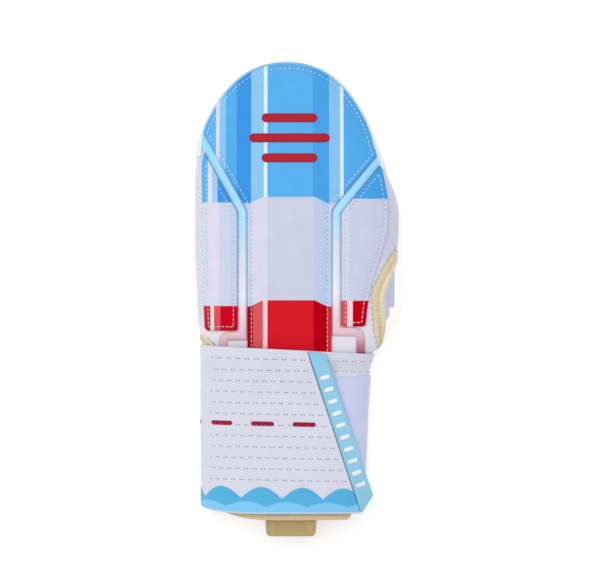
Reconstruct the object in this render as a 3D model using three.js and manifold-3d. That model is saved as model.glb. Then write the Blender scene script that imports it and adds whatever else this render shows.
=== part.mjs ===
// Sliding mitt for the left hand: a padded, hollow mitt with a wide wrist strap, lying on its palm.
// Millimetres. +Z points up out of the back of the hand, +Y to the fingertips and +X to the thumb.
// The origin is on the surface that the mitt lies on, below the middle of its length and width.
import * as THREE from "three";
import { mergeVertices } from "three/addons/utils/BufferGeometryUtils.js";
import Module from "manifold-3d";

const wasm = await Module();
wasm.setup();

// Driving dimensions
const GAP = 0.3; // air between two layers that lie on each other
const STRAP_GAP = 0.6; // air between the strap's flat facets and the rounded cuff
const WALL = 4; // padded wall of the pouch
const PLATE = 2.4; // stiff palm plate
const PANEL = 2.5; // stitched panels on the back
const CHANNEL_STRIP = 1; // moulded strip in the flex channels
const BUMPER = 1.6; // rubber rim round the fingertips
const STRAP = 2.2; // woven elastic of the wrist strap
const PATCH = 1; // loop patch that the strap's end grips
const TAB = 2.7; // moulded tab on the strap's end
const EMBLEM = 0.9; // raised rubber bars on the back
const PALM_LEVEL = STRAP + STRAP_GAP; // flat underside of the pouch, with the strap below it
const TIP_Y = 154.4 - BUMPER - GAP; // fingertip end of the pouch
const MOUTH_Y = -139; // wrist end of the pouch
const DOME_Y = 40; // the fingertip dome starts here
const DOME_LENGTH = TIP_Y - DOME_Y;
const DOME_ROUND = 2.3; // exponent of the dome's plan outline
const TIP_LEAN = { x: -6.5, from: 45, to: 112 }; // the dome leans to the little finger between two y
const TIP_THINNING = 0.34; // share of the back's height that is lost at the tip
const NOSE_ROUND = 0.3; // how bluntly the tip closes, seen from the side
const MID_LEVEL = 17; // height of the pouch's widest line
const PALM_SINK = 3; // how far the resting palm is pressed flat
const BACK_ROUND = 3.2; // exponent of the section above the widest line
const PALM_ROUND = 5; // and below it
const MOUTH_BOW = { depth: 9.6, fromY: -100, left: 2, right: 8 }; // the wrist edge runs back at the sides
const FAR = 200; // beyond every piece

// The pouch from the wrist to the knuckles: side edges, and the height of the back's crown
const SECTIONS = [
  { y: -150, left: -59.7, right: 40, back: 36 },
  { y: -95, left: -59.9, right: 42.2, back: 37 },
  { y: -55, left: -60, right: 44.2, back: 38 },
  { y: -42, left: -60, right: 45.4, back: 39 },
  { y: -36, left: -60, right: 48, back: 40 },
  { y: -31, left: -60.2, right: 54, back: 41 },
  { y: -22, left: -63, right: 57.8, back: 43 },
  { y: 4, left: -65.2, right: 63.5, back: 45.5 },
  { y: DOME_Y, left: -66.5, right: 66.5, back: 47 },
];

// Flex channels between the back panels, from the bumper's end to under the strap, with rounded turns
const CHANNEL_WIDTH = 5.4;
const LEFT_CHANNEL = [
  { x: -66, y: 106 },
  { x: -34.9, y: 56.5, r: 2.5 },
  { x: -34.9, y: -26 },
  { x: -47.3, y: -26.4, r: 4 },
  { x: -47.3, y: -35.5 },
];
const RIGHT_CHANNEL = [
  { x: 66, y: 98.5 },
  { x: 26.6, y: 56.5, r: 2.5 },
  { x: 26.6, y: -23.6 },
  { x: 42.2, y: -24, r: 4 },
  { x: 42.4, y: -38.4 },
];

// Outer corners of the two side panels, with the radius of each
const LEFT_PANEL_EDGE = [
  { x: -61.4, y: 88.5, r: 1.5 },
  { x: -60.6, y: 15, r: 20 },
  { x: -59.6, y: -20.6, r: 3.5 },
];
const RIGHT_PANEL_EDGE = [
  { x: 56, y: 82.5, r: 1.5 },
  { x: 61.4, y: 44, r: 26 },
  { x: 48.4, y: 0, r: 15 },
  { x: 45, y: -18.5, r: 2.5 },
];
const PANEL_FOOT_Y = -18.5; // lower ends of the side panels

const BUMPER_END = { left: 92.6, right: 84.8 }; // y of the bumper's two ends
const BUMPER_FOOT = PALM_LEVEL + 2; // its lower edge, above the palm plate
const BUMPER_LIMIT = { end: 0.9, tip: 2.4, from: 88, to: 122 }; // most that it stands out, less at its ends
const BUMPER_TOP = [
  { y: 84, z: MID_LEVEL },
  { y: 84.5, z: 32.5 },
  { y: 93, z: 32.5 },
  { y: 114, z: 28 },
  { y: FAR, z: 27.5 },
]; // its upper edge in side view, where the panels and strips stop
const BACK_LIMIT = { end: -2.2, tip: -0.1, from: 92, to: 114 }; // most that those stand out in plan

// Bound openings: an upright elliptical cut into the side of the pouch, with a binding set in its edge.
// The binding runs round the point (midY, midZ), and sink sets it below the middle of the wall.
const THUMB_OPENING = {
  cut: { x: 90, y: -15, acrossX: 37.8, alongY: 54 },
  binding: { midY: 0, midZ: 18, width: 8.4, sink: 0, steps: 36 },
};
const SIDE_VENT = {
  cut: { x: -73.5, y: -37.9, acrossX: 22, alongY: 16.5 },
  binding: { midY: -38, midZ: 18, width: 6, sink: 0.6, steps: 24 },
};
const BINDING = WALL - 0.1; // thickness, flush with the pouch's wall

// Palm plate
const PLATE_INSET = 3;
const PLATE_END_Y = -5.5;
const PLATE_LEDGE = { x: 64.6, y: 24 }; // straight edge that shows past the thumb opening
const PLATE_TIP_INSET = 12;
const PLATE_TONGUE = [
  { x: 61, y: -6 },
  { x: 61.4, y: -10.5 },
  { x: 57.4, y: -18 },
  { x: 46, y: -18 },
  { x: 38, y: PLATE_END_Y },
]; // its corner below the thumb opening

// Wrist strap: one wrap and a lap, from under itself round by the thumb to a slanting end
const STRAP_TOP_Y = -33.2; // upper edge on the mitt's centre line
const STRAP_TOP_SLOPE = -0.056;
const STRAP_FOOT_Y = -139.2;
const STRAP_FOOT_BOW = { depth: 4.6, power: 8 }; // the lower edge runs back at the little finger's side
const STRAP_START_X = -5; // inner end, hidden below the lap
const LAP_RISE = STRAP + PATCH + GAP + STRAP_GAP; // the lap lies over the start and the patch
const STRAP_ROWS = [0, 0.22, 0.44, 0.66, 0.855, 0.895, 0.925, 0.957, 1]; // shares of its width, foot to top
const LAP_STEPS = 9;
const LAP_RAMP = { from: 0.78, to: 0.96 }; // shares of the turn over which it climbs onto its start
const TUCK = 4.5; // how far panels and strips reach under the strap
const BACK_SPAN = { from: 0.3, to: 0.6 }; // cosine of the angle from the crown where the panels end
const TUCK_RELEASE = 7; // the strap comes back down to the pouch over this length

// Moulded tab along the strap's slanting end
const TAB_TOP = { x: 7.4, y: -34 };
const TAB_FOOT = { x: 42.2, y: -139.6 };
const TAB_TOP_FAR = { x: 18.6, y: -35 };
const TAB_FOOT_FAR = { x: 50, y: -127.8 };
const TAB_SLOPE = 0.5; // a stiff tab slopes no more than this across its width
const TAB_RIBS = { count: 10, from: 0.175, to: 0.835, share: 0.34, inset: 0.2, height: 0.5 };

// Loop patch beside the tab
const PATCH_TOP_Y = -50.2;
const PATCH_FOOT_Y = -127;
const PATCH_FROM_X = 10;
const PATCH_TO_ANGLE = THREE.MathUtils.degToRad(108);

// Raised bars on the back: half-length and place of each along the hand
const EMBLEM_X = -4.5;
const EMBLEM_BARS = [
  { y: 117, half: 15, radius: 2.9 },
  { y: 104, half: 23, radius: 2.9 },
  { y: 91, half: 15, radius: 2.9 },
];

// Wrist edge
const HEM_STEPS = 36;
const HEM = 4.2; // width of the cuff binding
const HEM_GAP = 0.6;
const PULL_TAB = { x: -3.6, halfTop: 17.2, halfFoot: 16, rootY: -134, footY: -154.4, thick: 2.2, r: 3.5 };

// Mesh density
const AROUND = 40;
const STRAIGHT_Y = [-110, -80, -55, -42, -36, -31, -26, -18, 0, 20, DOME_Y];
const DOME_ANGLES = [15, 29, 42, 54, 65, 75, 82, 87];
const OUTLINE_STEPS = 20;
const RING_SIDES = 8;
const NEARBY = 0.02; // a small angle for measuring a ring's direction
const TURN = 2 * Math.PI;

const handColumns = new THREE.CubicInterpolant(
  SECTIONS.map((row) => row.y),
  SECTIONS.flatMap((row) => [row.left, row.right, row.back]),
  3,
);

const { smoothstep, lerp, degToRad, clamp } = THREE.MathUtils;
const signedPower = (value, power) => Math.sign(value) * Math.abs(value) ** power;

// The pouch's cross-section at y, with its surface moved out by grow
function sectionAt(y, grow = 0) {
  const [left, right, back] = handColumns.evaluate(Math.min(y, DOME_Y));
  const rise = clamp((y - DOME_Y) / (DOME_LENGTH + grow), 0, 1);
  const close = Math.sqrt(1 - rise * rise);
  const nose = close ** NOSE_ROUND;
  const crown = (back - MID_LEVEL) * (1 - TIP_THINNING * rise * rise);
  return {
    y,
    centre: (left + right) / 2 + TIP_LEAN.x * smoothstep(y, TIP_LEAN.from, TIP_LEAN.to),
    half: ((right - left) / 2 + grow) * close ** (2 / DOME_ROUND),
    up: (crown + grow) * nose,
    down: (MID_LEVEL - PALM_LEVEL + PALM_SINK + grow) * nose,
    floor: PALM_LEVEL - grow,
  };
}

// A point on a section's rim. Angle 0 is the back's crown, and a quarter turn is the thumb side.
function rimPoint(section, angle) {
  const across = Math.sin(angle);
  const upward = Math.cos(angle);
  const power = 2 / (upward > 0 ? BACK_ROUND : PALM_ROUND);
  const reach = signedPower(across, power);
  const height = (upward > 0 ? section.up : section.down) * signedPower(upward, power);
  const bend = Math.abs(reach) ** (reach < 0 ? MOUTH_BOW.left : MOUTH_BOW.right);
  const bow = MOUTH_BOW.depth * bend * smoothstep(-section.y, -MOUTH_BOW.fromY, -MOUTH_Y);
  return new THREE.Vector3(
    section.centre + section.half * reach,
    section.y + bow,
    Math.max(MID_LEVEL + height, section.floor),
  );
}

// The angle at which the back of a section has this x
function backAngle(section, x) {
  const reach = clamp((x - section.centre) / section.half, -1, 1);
  return Math.asin(signedPower(reach, BACK_ROUND / 2));
}

function isInside(point, grow) {
  const section = sectionAt(point.y, grow);
  const upper = point.z > MID_LEVEL;
  const height = Math.abs(point.z - MID_LEVEL) / (upper ? section.up : section.down);
  const reach = Math.abs(point.x - section.centre) / section.half;
  const power = upper ? BACK_ROUND : PALM_ROUND;
  return point.z > section.floor && height ** power + reach ** power < 1;
}

// Solids and booleans

function bend(geometry, place) {
  const position = geometry.getAttribute("position");
  const point = new THREE.Vector3();
  for (let i = 0; i < position.count; i++) {
    const { x, y, z } = place(point.fromBufferAttribute(position, i));
    position.setXYZ(i, x, y, z);
  }
  return geometry;
}

function solidOf(geometry) {
  const bare = geometry.clone();
  bare.deleteAttribute("normal");
  bare.deleteAttribute("uv");
  const merged = mergeVertices(bare, 1e-4);
  return new wasm.Manifold(
    new wasm.Mesh({
      numProp: 3,
      vertProperties: merged.attributes.position.array,
      triVerts: new Uint32Array(merged.index.array),
    }),
  );
}

function geometryOf(solid) {
  const { vertProperties, triVerts } = solid.getMesh();
  const geometry = new THREE.BufferGeometry();
  geometry.setAttribute("position", new THREE.BufferAttribute(vertProperties, 3));
  geometry.setIndex(new THREE.BufferAttribute(triVerts, 1));
  geometry.computeVertexNormals();
  return geometry;
}

// The pouch's outer form as a full solid, with its surface moved out by grow
function bodySolid(grow, mouthY = MOUTH_Y) {
  const dome = DOME_ANGLES.map((angle) => DOME_Y + (DOME_LENGTH + grow) * Math.sin(degToRad(angle)));
  const stations = [mouthY, ...STRAIGHT_Y, ...dome];
  const last = stations.length - 1;
  const tube = new THREE.CylinderGeometry(1, 1, 1, AROUND, last);
  return solidOf(
    bend(tube, (point) => {
      const section = sectionAt(stations[Math.round((point.y + 0.5) * last)], grow);
      const core = new THREE.Vector3(section.centre, section.y, MID_LEVEL);
      const rim = rimPoint(section, Math.atan2(point.x, point.z));
      return core.lerp(rim, Math.hypot(point.x, point.z));
    }),
  );
}

const layer = (from, to) => bodySolid(to, MOUTH_Y - 5).subtract(bodySolid(from, MOUTH_Y - 6));

function prism(shape, bottom, top, curveSegments = 8) {
  const options = { depth: top - bottom, bevelEnabled: false, curveSegments };
  return solidOf(new THREE.ExtrudeGeometry(shape, options).translate(0, 0, bottom));
}

// An outline of straight sides, each corner rounded by its r if it has one
function roundedShape(corners) {
  const shape = new THREE.Shape();
  corners.forEach((corner, i) => {
    const here = new THREE.Vector2(corner.x, corner.y);
    const towards = (other) => {
      const way = new THREE.Vector2(other.x, other.y).sub(here);
      return here.clone().addScaledVector(way.normalize(), corner.r ?? 0);
    };
    const start = towards(corners.at(i - 1));
    const end = towards(corners[(i + 1) % corners.length]);
    if (i) shape.lineTo(start.x, start.y);
    else shape.moveTo(start.x, start.y);
    if (corner.r) shape.quadraticCurveTo(here.x, here.y, end.x, end.y);
  });
  return shape;
}

// A path moved sideways by a distance, to the left of its direction where it is positive
function offsetPath(path, distance) {
  const points = path.map(({ x, y }) => new THREE.Vector2(x, y));
  const sideOf = (i) => {
    const way = points[i + 1].clone().sub(points[i]).normalize();
    return new THREE.Vector2(-way.y, way.x);
  };
  return points.map((point, i) => {
    const before = sideOf(Math.max(i - 1, 0));
    const after = sideOf(Math.min(i, points.length - 2));
    const miter = before.add(after).normalize();
    return point.clone().addScaledVector(miter, distance / miter.dot(after));
  });
}

// Plan outline of the pouch from y to its tip, moved in by the inset at each y and at the tip
function planOutline(insetAt, fromY, tipInset) {
  const side = (sign) =>
    Array.from({ length: OUTLINE_STEPS }, (_, i) => {
      const share = Math.sin((TURN / 4) * (i / OUTLINE_STEPS));
      const section = sectionAt(lerp(fromY, TIP_Y - tipInset, share), -tipInset);
      const half = section.half + tipInset - insetAt(section.y);
      return new THREE.Vector2(section.centre + sign * half, section.y);
    });
  return [...side(-1), ...side(1).reverse()];
}

// Pouch

const strapTop = (x) => STRAP_TOP_Y + STRAP_TOP_SLOPE * x;

function openingCut({ cut, binding }) {
  const room = binding.width / 2 + GAP;
  const shape = new THREE.Shape();
  shape.absellipse(cut.x, cut.y, cut.acrossX + room, cut.alongY + room, 0, TURN);
  return prism(shape, -FAR, FAR, 32);
}

function makePouch() {
  const hollow = bodySolid(-WALL, MOUTH_Y - 20);
  return [THUMB_OPENING, SIDE_VENT].reduce(
    (solid, opening) => solid.subtract(openingCut(opening)),
    bodySolid(0).subtract(hollow),
  );
}

// Where an opening's edge runs: the meeting of its upright cut and the middle of the pouch's wall
function openingEdge({ cut, binding }, angle) {
  const at = (reach) => {
    const y = binding.midY + reach * Math.cos(angle);
    const share = clamp((y - cut.y) / cut.alongY, -1, 1);
    const x = cut.x - Math.sign(cut.x) * cut.acrossX * Math.sqrt(1 - share * share);
    return new THREE.Vector3(x, y, binding.midZ + reach * Math.sin(angle));
  };
  let near = 0;
  let far = cut.alongY;
  while (far - near > 1e-6) {
    const middle = (near + far) / 2;
    if (isInside(at(middle), -WALL / 2 - binding.sink)) near = middle;
    else far = middle;
  }
  return at(near);
}

// A ring whose oval section follows a closed edge. spread gives the section's first axis at each place.
function ringSolid(edge, spread, width, thickness, steps) {
  const torus = new THREE.TorusGeometry(2, 1, RING_SIDES, steps);
  return solidOf(
    bend(torus, (point) => {
      const angle = Math.atan2(point.y, point.x);
      const here = edge(angle);
      const along = edge(angle + NEARBY).sub(edge(angle - NEARBY)).normalize();
      const first = spread(here);
      const second = new THREE.Vector3().crossVectors(first, along).normalize();
      return here
        .addScaledVector(first, (width / 2) * (Math.hypot(point.x, point.y) - 2))
        .addScaledVector(second, (thickness / 2) * point.z);
    }),
  );
}

function makeOpeningBinding(opening) {
  const { cut, binding } = opening;
  const intoWall = (here) => {
    const slopeX = (here.x - cut.x) / cut.acrossX ** 2;
    const slopeY = (here.y - cut.y) / cut.alongY ** 2;
    return new THREE.Vector3(slopeX, slopeY, 0).normalize();
  };
  const edge = (angle) => openingEdge(opening, angle);
  return ringSolid(edge, intoWall, binding.width, BINDING - binding.sink / 2, binding.steps);
}

function makeCuffBinding() {
  const wall = sectionAt(MOUTH_Y, -WALL / 2);
  const edge = (angle) => {
    const point = rimPoint(wall, angle);
    return point.setY(point.y - HEM_GAP - HEM / 2);
  };
  return ringSolid(edge, () => new THREE.Vector3(0, 1, 0), HEM, BINDING, HEM_STEPS);
}

// Back of the hand

// The room above the bumper's upper edge, moved up by a gap
function aboveBumper(gap) {
  const edge = BUMPER_TOP.map(({ y, z }) => new THREE.Vector2(y, z + gap));
  const corners = [
    new THREE.Vector2(-FAR, MID_LEVEL),
    ...edge,
    new THREE.Vector2(FAR, FAR),
    new THREE.Vector2(-FAR, FAR),
  ];
  const options = { depth: 2 * FAR, bevelEnabled: false };
  const slab = new THREE.ExtrudeGeometry(new THREE.Shape(corners), options).translate(0, 0, -FAR);
  return solidOf(bend(slab, ({ x, y, z }) => ({ x: z, y: x, z: y })));
}

// An upright prism on the pouch's outline, moved out by a distance that changes between two y
function outlinePrism({ end, tip, from, to }) {
  const insetAt = (y) => -lerp(end, tip, smoothstep(y, from, to));
  return prism(new THREE.Shape(planOutline(insetAt, -60, -tip)), 0, FAR);
}

const panelEdge = CHANNEL_WIDTH / 2 + GAP;

// Panels and strips lie on the pouch and stop at the bumper
function backPiece(corners, bottom, top) {
  return layer(bottom, top)
    .intersect(aboveBumper(GAP))
    .intersect(outlinePrism(BACK_LIMIT))
    .intersect(prism(roundedShape(corners), MID_LEVEL, FAR));
}

const leftChannel = roundedShape(LEFT_CHANNEL).getPoints(4);
const rightChannel = roundedShape(RIGHT_CHANNEL).getPoints(4);
const aboveFoot = ({ y }) => y > PANEL_FOOT_Y;

function makeCentrePanel() {
  const left = offsetPath(leftChannel, panelEdge).filter(aboveFoot);
  const right = offsetPath(rightChannel, -panelEdge).filter(aboveFoot);
  const foot = ({ x }) => ({ x, y: strapTop(x) - TUCK });
  const corners = [
    { x: left[0].x, y: FAR },
    ...left,
    foot(left.at(-1)),
    foot(right.at(-1)),
    ...right.reverse(),
    { x: right.at(-1).x, y: FAR },
  ];
  return backPiece(corners, GAP, GAP + PANEL);
}

function makeSidePanel(channel, side, edge) {
  const [top, ...inner] = offsetPath(channel, side * panelEdge).filter(aboveFoot);
  const tipX = edge[0].x - side * edge[0].r;
  const tip = { x: tipX, y: lerp(inner[0].y, top.y, (tipX - inner[0].x) / (top.x - inner[0].x)) };
  const foot = { x: inner.at(-1).x, y: PANEL_FOOT_Y, r: 1.5 };
  return backPiece([...edge, foot, ...inner.reverse(), tip], GAP, GAP + PANEL);
}

function makeChannelStrip(channel) {
  const half = CHANNEL_WIDTH / 2;
  const corners = [...offsetPath(channel, half), ...offsetPath(channel, -half).reverse()];
  return backPiece(corners, GAP, GAP + CHANNEL_STRIP);
}

function makeEmblemBar({ y, half, radius }) {
  const pill = new THREE.Shape();
  pill.absarc(EMBLEM_X + half, y, radius, -Math.PI / 2, Math.PI / 2);
  pill.absarc(EMBLEM_X - half, y, radius, Math.PI / 2, (3 * Math.PI) / 2);
  const bottom = 2 * GAP + PANEL;
  return layer(bottom, bottom + EMBLEM).intersect(prism(pill, MID_LEVEL, FAR, 4));
}

function makeTipBumper() {
  const ends = roundedShape([
    { x: -FAR, y: BUMPER_END.left },
    { x: 0, y: BUMPER_END.left },
    { x: 0, y: BUMPER_END.right },
    { x: FAR, y: BUMPER_END.right },
    { x: FAR, y: FAR },
    { x: -FAR, y: FAR },
  ]);
  return layer(GAP, GAP + BUMPER)
    .subtract(aboveBumper(0))
    .intersect(outlinePrism(BUMPER_LIMIT))
    .intersect(prism(ends, BUMPER_FOOT, FAR));
}

function makePalmPlate() {
  const outline = planOutline(() => PLATE_INSET, PLATE_END_Y, PLATE_TIP_INSET).map((point) =>
    point.x > 0 && point.y < PLATE_LEDGE.y ? point.setX(PLATE_LEDGE.x) : point,
  );
  const tongue = PLATE_TONGUE.map(({ x, y }) => new THREE.Vector2(x, y));
  return prism(new THREE.Shape([...outline, ...tongue]), 0, PLATE);
}

// Wrist strap

const strapFoot = (x) => {
  const { centre, half } = sectionAt(STRAP_FOOT_Y);
  return STRAP_FOOT_Y + STRAP_FOOT_BOW.depth * clamp((centre - x) / half, 0, 1) ** STRAP_FOOT_BOW.power;
};

// How far the strap stands off the pouch: it climbs onto its own start and rides over the panels' ends
function strapRise(angle, x, y) {
  const lap = LAP_RISE * smoothstep(angle / TURN, LAP_RAMP.from, LAP_RAMP.to);
  const onBack = smoothstep(Math.cos(angle), BACK_SPAN.from, BACK_SPAN.to);
  const top = strapTop(x);
  const overPanels = smoothstep(y, top - TUCK - TUCK_RELEASE, top - TUCK);
  return STRAP_GAP + lap + PANEL * onBack * overPanels;
}

// A point on the strap: angle round the wrap, share of its width from the foot, height in its thickness
function strapPoint(angle, share, height) {
  const { x } = rimPoint(sectionAt(lerp(STRAP_FOOT_Y, STRAP_TOP_Y, share)), angle);
  const y = lerp(strapFoot(x), strapTop(x), share);
  return rimPoint(sectionAt(y, strapRise(angle, x, y) + height), angle).setY(y);
}

// The strap's slanting end: its x at y, and the angles of the lap at a share of the strap's width
const strapEndX = (y) =>
  lerp(TAB_TOP.x, TAB_FOOT.x, (y - TAB_TOP.y) / (TAB_FOOT.y - TAB_TOP.y)) - STRAP_GAP;

function lapAngle(share, step) {
  let y = lerp(STRAP_FOOT_Y, STRAP_TOP_Y, share);
  for (let i = 0; i < 4; i++) y = lerp(strapFoot(strapEndX(y)), strapTop(strapEndX(y)), share);
  const section = sectionAt(y, strapRise(TURN, strapEndX(y), y) + STRAP);
  return TURN + backAngle(section, lerp(section.centre, strapEndX(y), step / LAP_STEPS));
}

// Strap and patch turn at the pouch's own angles, so that their facets lie flat on its facets
const gridAngles = (from, to) =>
  Array.from({ length: AROUND + 1 }, (_, i) => (TURN * i) / AROUND).filter(
    (angle) => angle > from + 0.01 && angle < to + 0.01,
  );

function makeStrap() {
  const start = backAngle(sectionAt((STRAP_TOP_Y + STRAP_FOOT_Y) / 2), STRAP_START_X);
  const wrap = [start, ...gridAngles(start, TURN)];
  const columns = wrap.length - 1 + LAP_STEPS;
  const rows = STRAP_ROWS.length - 1;
  const sheet = new THREE.BoxGeometry(1, 1, 1, columns, rows, 1);
  return solidOf(
    bend(sheet, (point) => {
      const column = Math.round((point.x + 0.5) * columns);
      const share = STRAP_ROWS[Math.round((point.y + 0.5) * rows)];
      const angle = wrap[column] ?? lapAngle(share, column - wrap.length + 1);
      return strapPoint(angle, share, STRAP * (point.z + 0.5));
    }),
  );
}

function makeLoopPatch() {
  const start = backAngle(sectionAt((PATCH_TOP_Y + PATCH_FOOT_Y) / 2), PATCH_FROM_X);
  const wrap = [start, ...gridAngles(start, PATCH_TO_ANGLE)];
  const sheet = new THREE.BoxGeometry(1, 1, 1, wrap.length - 1, 6, 1);
  return solidOf(
    bend(sheet, (point) => {
      const angle = wrap[Math.round((point.x + 0.5) * (wrap.length - 1))];
      const y = lerp(PATCH_FOOT_Y, PATCH_TOP_Y, point.y + 0.5);
      const grow = STRAP_GAP + STRAP + GAP + PATCH * (point.z + 0.5);
      return rimPoint(sectionAt(y, grow), angle).setY(y);
    }),
  );
}

// A point on the tab: shares of its length from the top and of its width, height above its underside
function tabPoint(along, across, height) {
  const mix = (a, b, share) => new THREE.Vector2(lerp(a.x, b.x, share), lerp(a.y, b.y, share));
  const near = mix(TAB_TOP, TAB_FOOT, along);
  const plan = mix(near, mix(TAB_TOP_FAR, TAB_FOOT_FAR, along), across);
  const heightAt = (x, y) => {
    const angle = backAngle(sectionAt(y, STRAP_GAP + LAP_RISE), x);
    const grow = strapRise(TURN + angle, x, y);
    const section = sectionAt(y, grow);
    return rimPoint(section, backAngle(section, x)).z;
  };
  const slope = Math.min(TAB_SLOPE, heightAt(near.x - 1, near.y) - heightAt(near.x, near.y));
  const z = heightAt(near.x, near.y) - slope * (plan.x - near.x) + height;
  return new THREE.Vector3(plan.x, plan.y, z);
}

function makeTab() {
  const bar = new THREE.BoxGeometry(1, 1, 1, 2, 18, 1);
  return solidOf(
    bend(bar, (point) => tabPoint(0.5 - point.y, point.x + 0.5, TAB * (point.z + 0.5))),
  );
}

// Where a line square to the tab's near edge, from a share of its length, crosses a share of its width
const tabWay = new THREE.Vector2(TAB_FOOT.x - TAB_TOP.x, TAB_FOOT.y - TAB_TOP.y);
const tabLead = (near, far) =>
  new THREE.Vector2(far.x - near.x, far.y - near.y).dot(tabWay) / tabWay.lengthSq();

function squareShare(share, across) {
  const top = tabLead(TAB_TOP, TAB_TOP_FAR);
  const foot = tabLead(TAB_FOOT, TAB_FOOT_FAR);
  return (share - across * top) / (1 + across * (foot - top));
}

function makeTabRib(index) {
  const { count, from, to, share, inset, height } = TAB_RIBS;
  const pitch = (to - from) / (count - 1);
  const middle = from + pitch * index;
  const bar = new THREE.BoxGeometry(1, 1, 1, 2, 1, 1);
  return solidOf(
    bend(bar, (point) => {
      const across = lerp(inset, 1 - inset, point.x + 0.5);
      const along = squareShare(middle - point.y * pitch * share, across);
      return tabPoint(along, across, TAB + GAP + height * (point.z + 0.5));
    }),
  );
}

function makePullTab() {
  const { x, halfTop, halfFoot, rootY, footY, thick, r } = PULL_TAB;
  const top = rimPoint(sectionAt(MOUTH_Y, -WALL), 0).z - 2 * GAP;
  const shape = roundedShape([
    { x: x - halfTop, y: rootY },
    { x: x - halfFoot, y: footY, r },
    { x: x + halfFoot, y: footY, r },
    { x: x + halfTop, y: rootY },
  ]);
  return prism(shape, top - thick, top);
}

// Assembly

const FINISHES = {
  knit: { color: 0xe2e2ec, roughness: 0.9 },
  print: { color: 0x63b6f4, roughness: 0.55 },
  channel: { color: 0xa0d3ef, roughness: 0.5 },
  rim: { color: 0xbfe0f2, roughness: 0.4 },
  plate: { color: 0xc9cde4, roughness: 0.6 },
  emblem: { color: 0xb8202f, roughness: 0.45 },
  binding: { color: 0xe0d0ad, roughness: 0.85 },
  elastic: { color: 0xdcdeec, roughness: 0.85 },
  loop: { color: 0xc3c9e6, roughness: 0.95 },
  tab: { color: 0x8ecae8, roughness: 0.45 },
  rib: { color: 0xf4f8fb, roughness: 0.45 },
  hem: { color: 0xcbb592, roughness: 0.8 },
  pull: { color: 0xb09a62, roughness: 0.5 },
};

const mitt = new THREE.Group();

function add(name, finish, solid) {
  const material = new THREE.MeshStandardMaterial({ ...FINISHES[finish], metalness: 0 });
  const mesh = new THREE.Mesh(geometryOf(solid), material);
  mesh.name = name;
  mitt.add(mesh);
}

add("pouch", "knit", makePouch());
add("palm_plate", "plate", makePalmPlate());
add("centre_panel", "print", makeCentrePanel());
add("left_panel", "print", makeSidePanel(leftChannel, -1, LEFT_PANEL_EDGE));
add("right_panel", "print", makeSidePanel(rightChannel, 1, RIGHT_PANEL_EDGE));
add("left_channel_strip", "channel", makeChannelStrip(leftChannel));
add("right_channel_strip", "channel", makeChannelStrip(rightChannel));
add("tip_bumper", "rim", makeTipBumper());
EMBLEM_BARS.forEach((bar, i) => add(`emblem_bar_${i + 1}`, "emblem", makeEmblemBar(bar)));
add("thumb_binding", "binding", makeOpeningBinding(THUMB_OPENING));
add("side_vent_binding", "binding", makeOpeningBinding(SIDE_VENT));
add("wrist_strap", "elastic", makeStrap());
add("loop_patch", "loop", makeLoopPatch());
add("strap_tab", "tab", makeTab());
for (let i = 0; i < TAB_RIBS.count; i++) add(`tab_rib_${i + 1}`, "rib", makeTabRib(i));
add("cuff_binding", "hem", makeCuffBinding());
add("pull_tab", "pull", makePullTab());

export default mitt;
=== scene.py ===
"""Looks of a sliding mitt: padded pouch, printed back panels, rubber trims and a woven wrist strap.

Pieces are modelled in millimetres and scaled to metres when they are finished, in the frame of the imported
solids: +Z up out of the back of the hand, +Y to the fingertips and +X to the thumb.
"""

import logging
import math
from dataclasses import dataclass, field
from enum import Enum
from functools import partial
from typing import Any, Callable, Optional, Sequence, Union

import bmesh
import bpy
import numpy as np
from mathutils import Matrix, Vector, noise


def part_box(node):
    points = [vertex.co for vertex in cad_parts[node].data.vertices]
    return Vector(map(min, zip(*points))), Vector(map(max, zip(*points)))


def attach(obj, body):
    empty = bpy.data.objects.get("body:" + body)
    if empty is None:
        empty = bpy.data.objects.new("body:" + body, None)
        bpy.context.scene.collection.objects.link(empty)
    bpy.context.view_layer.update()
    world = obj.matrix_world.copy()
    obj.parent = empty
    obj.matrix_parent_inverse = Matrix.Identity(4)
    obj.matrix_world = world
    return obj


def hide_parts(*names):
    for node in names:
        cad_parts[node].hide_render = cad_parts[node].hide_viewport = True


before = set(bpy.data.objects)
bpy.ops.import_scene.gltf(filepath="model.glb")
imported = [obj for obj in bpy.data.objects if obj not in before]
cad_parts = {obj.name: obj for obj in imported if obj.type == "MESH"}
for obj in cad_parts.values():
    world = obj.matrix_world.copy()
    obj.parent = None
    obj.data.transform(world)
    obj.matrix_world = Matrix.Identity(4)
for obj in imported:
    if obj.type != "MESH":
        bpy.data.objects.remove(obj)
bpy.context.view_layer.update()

LOG = logging.getLogger("sliding_mitt")
MM = 0.001
TURN = 2 * math.pi
PATTERN_MAP = "pattern"  # UV map of each piece, in metres along its surface

Bands = tuple[tuple[float, str], ...]
Place = Callable[[Vector], Vector]
Line = Sequence[Vector]
Material = bpy.types.Material
Piece = bpy.types.Object
Tree = bpy.types.NodeTree
Node = bpy.types.Node
Socket = bpy.types.NodeSocket
AddNode = Callable[..., Socket]
Inputs = dict[Union[int, str], Any]
Colour = Union[Socket, tuple[float, float, float, float]]


class Slot(Enum):
    """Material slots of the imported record."""

    KNIT = "knit"
    PRINT = "print"
    CHANNEL = "channel"
    RIM = "rim"
    PLATE = "plate"
    EMBLEM = "emblem"
    BINDING = "binding"
    ELASTIC = "elastic"
    LOOP = "loop"
    TAB = "tab"
    RIB = "rib"
    HEM = "hem"
    PULL = "pull"


class Side(Enum):
    """Sides of the hand, with the sign of their x."""

    LITTLE_FINGER = -1
    THUMB = 1


# Small mathematics


def lerp(a: float, b: float, share: float) -> float:
    """Value at a share of the way from a to b."""
    return a + (b - a) * share


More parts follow.
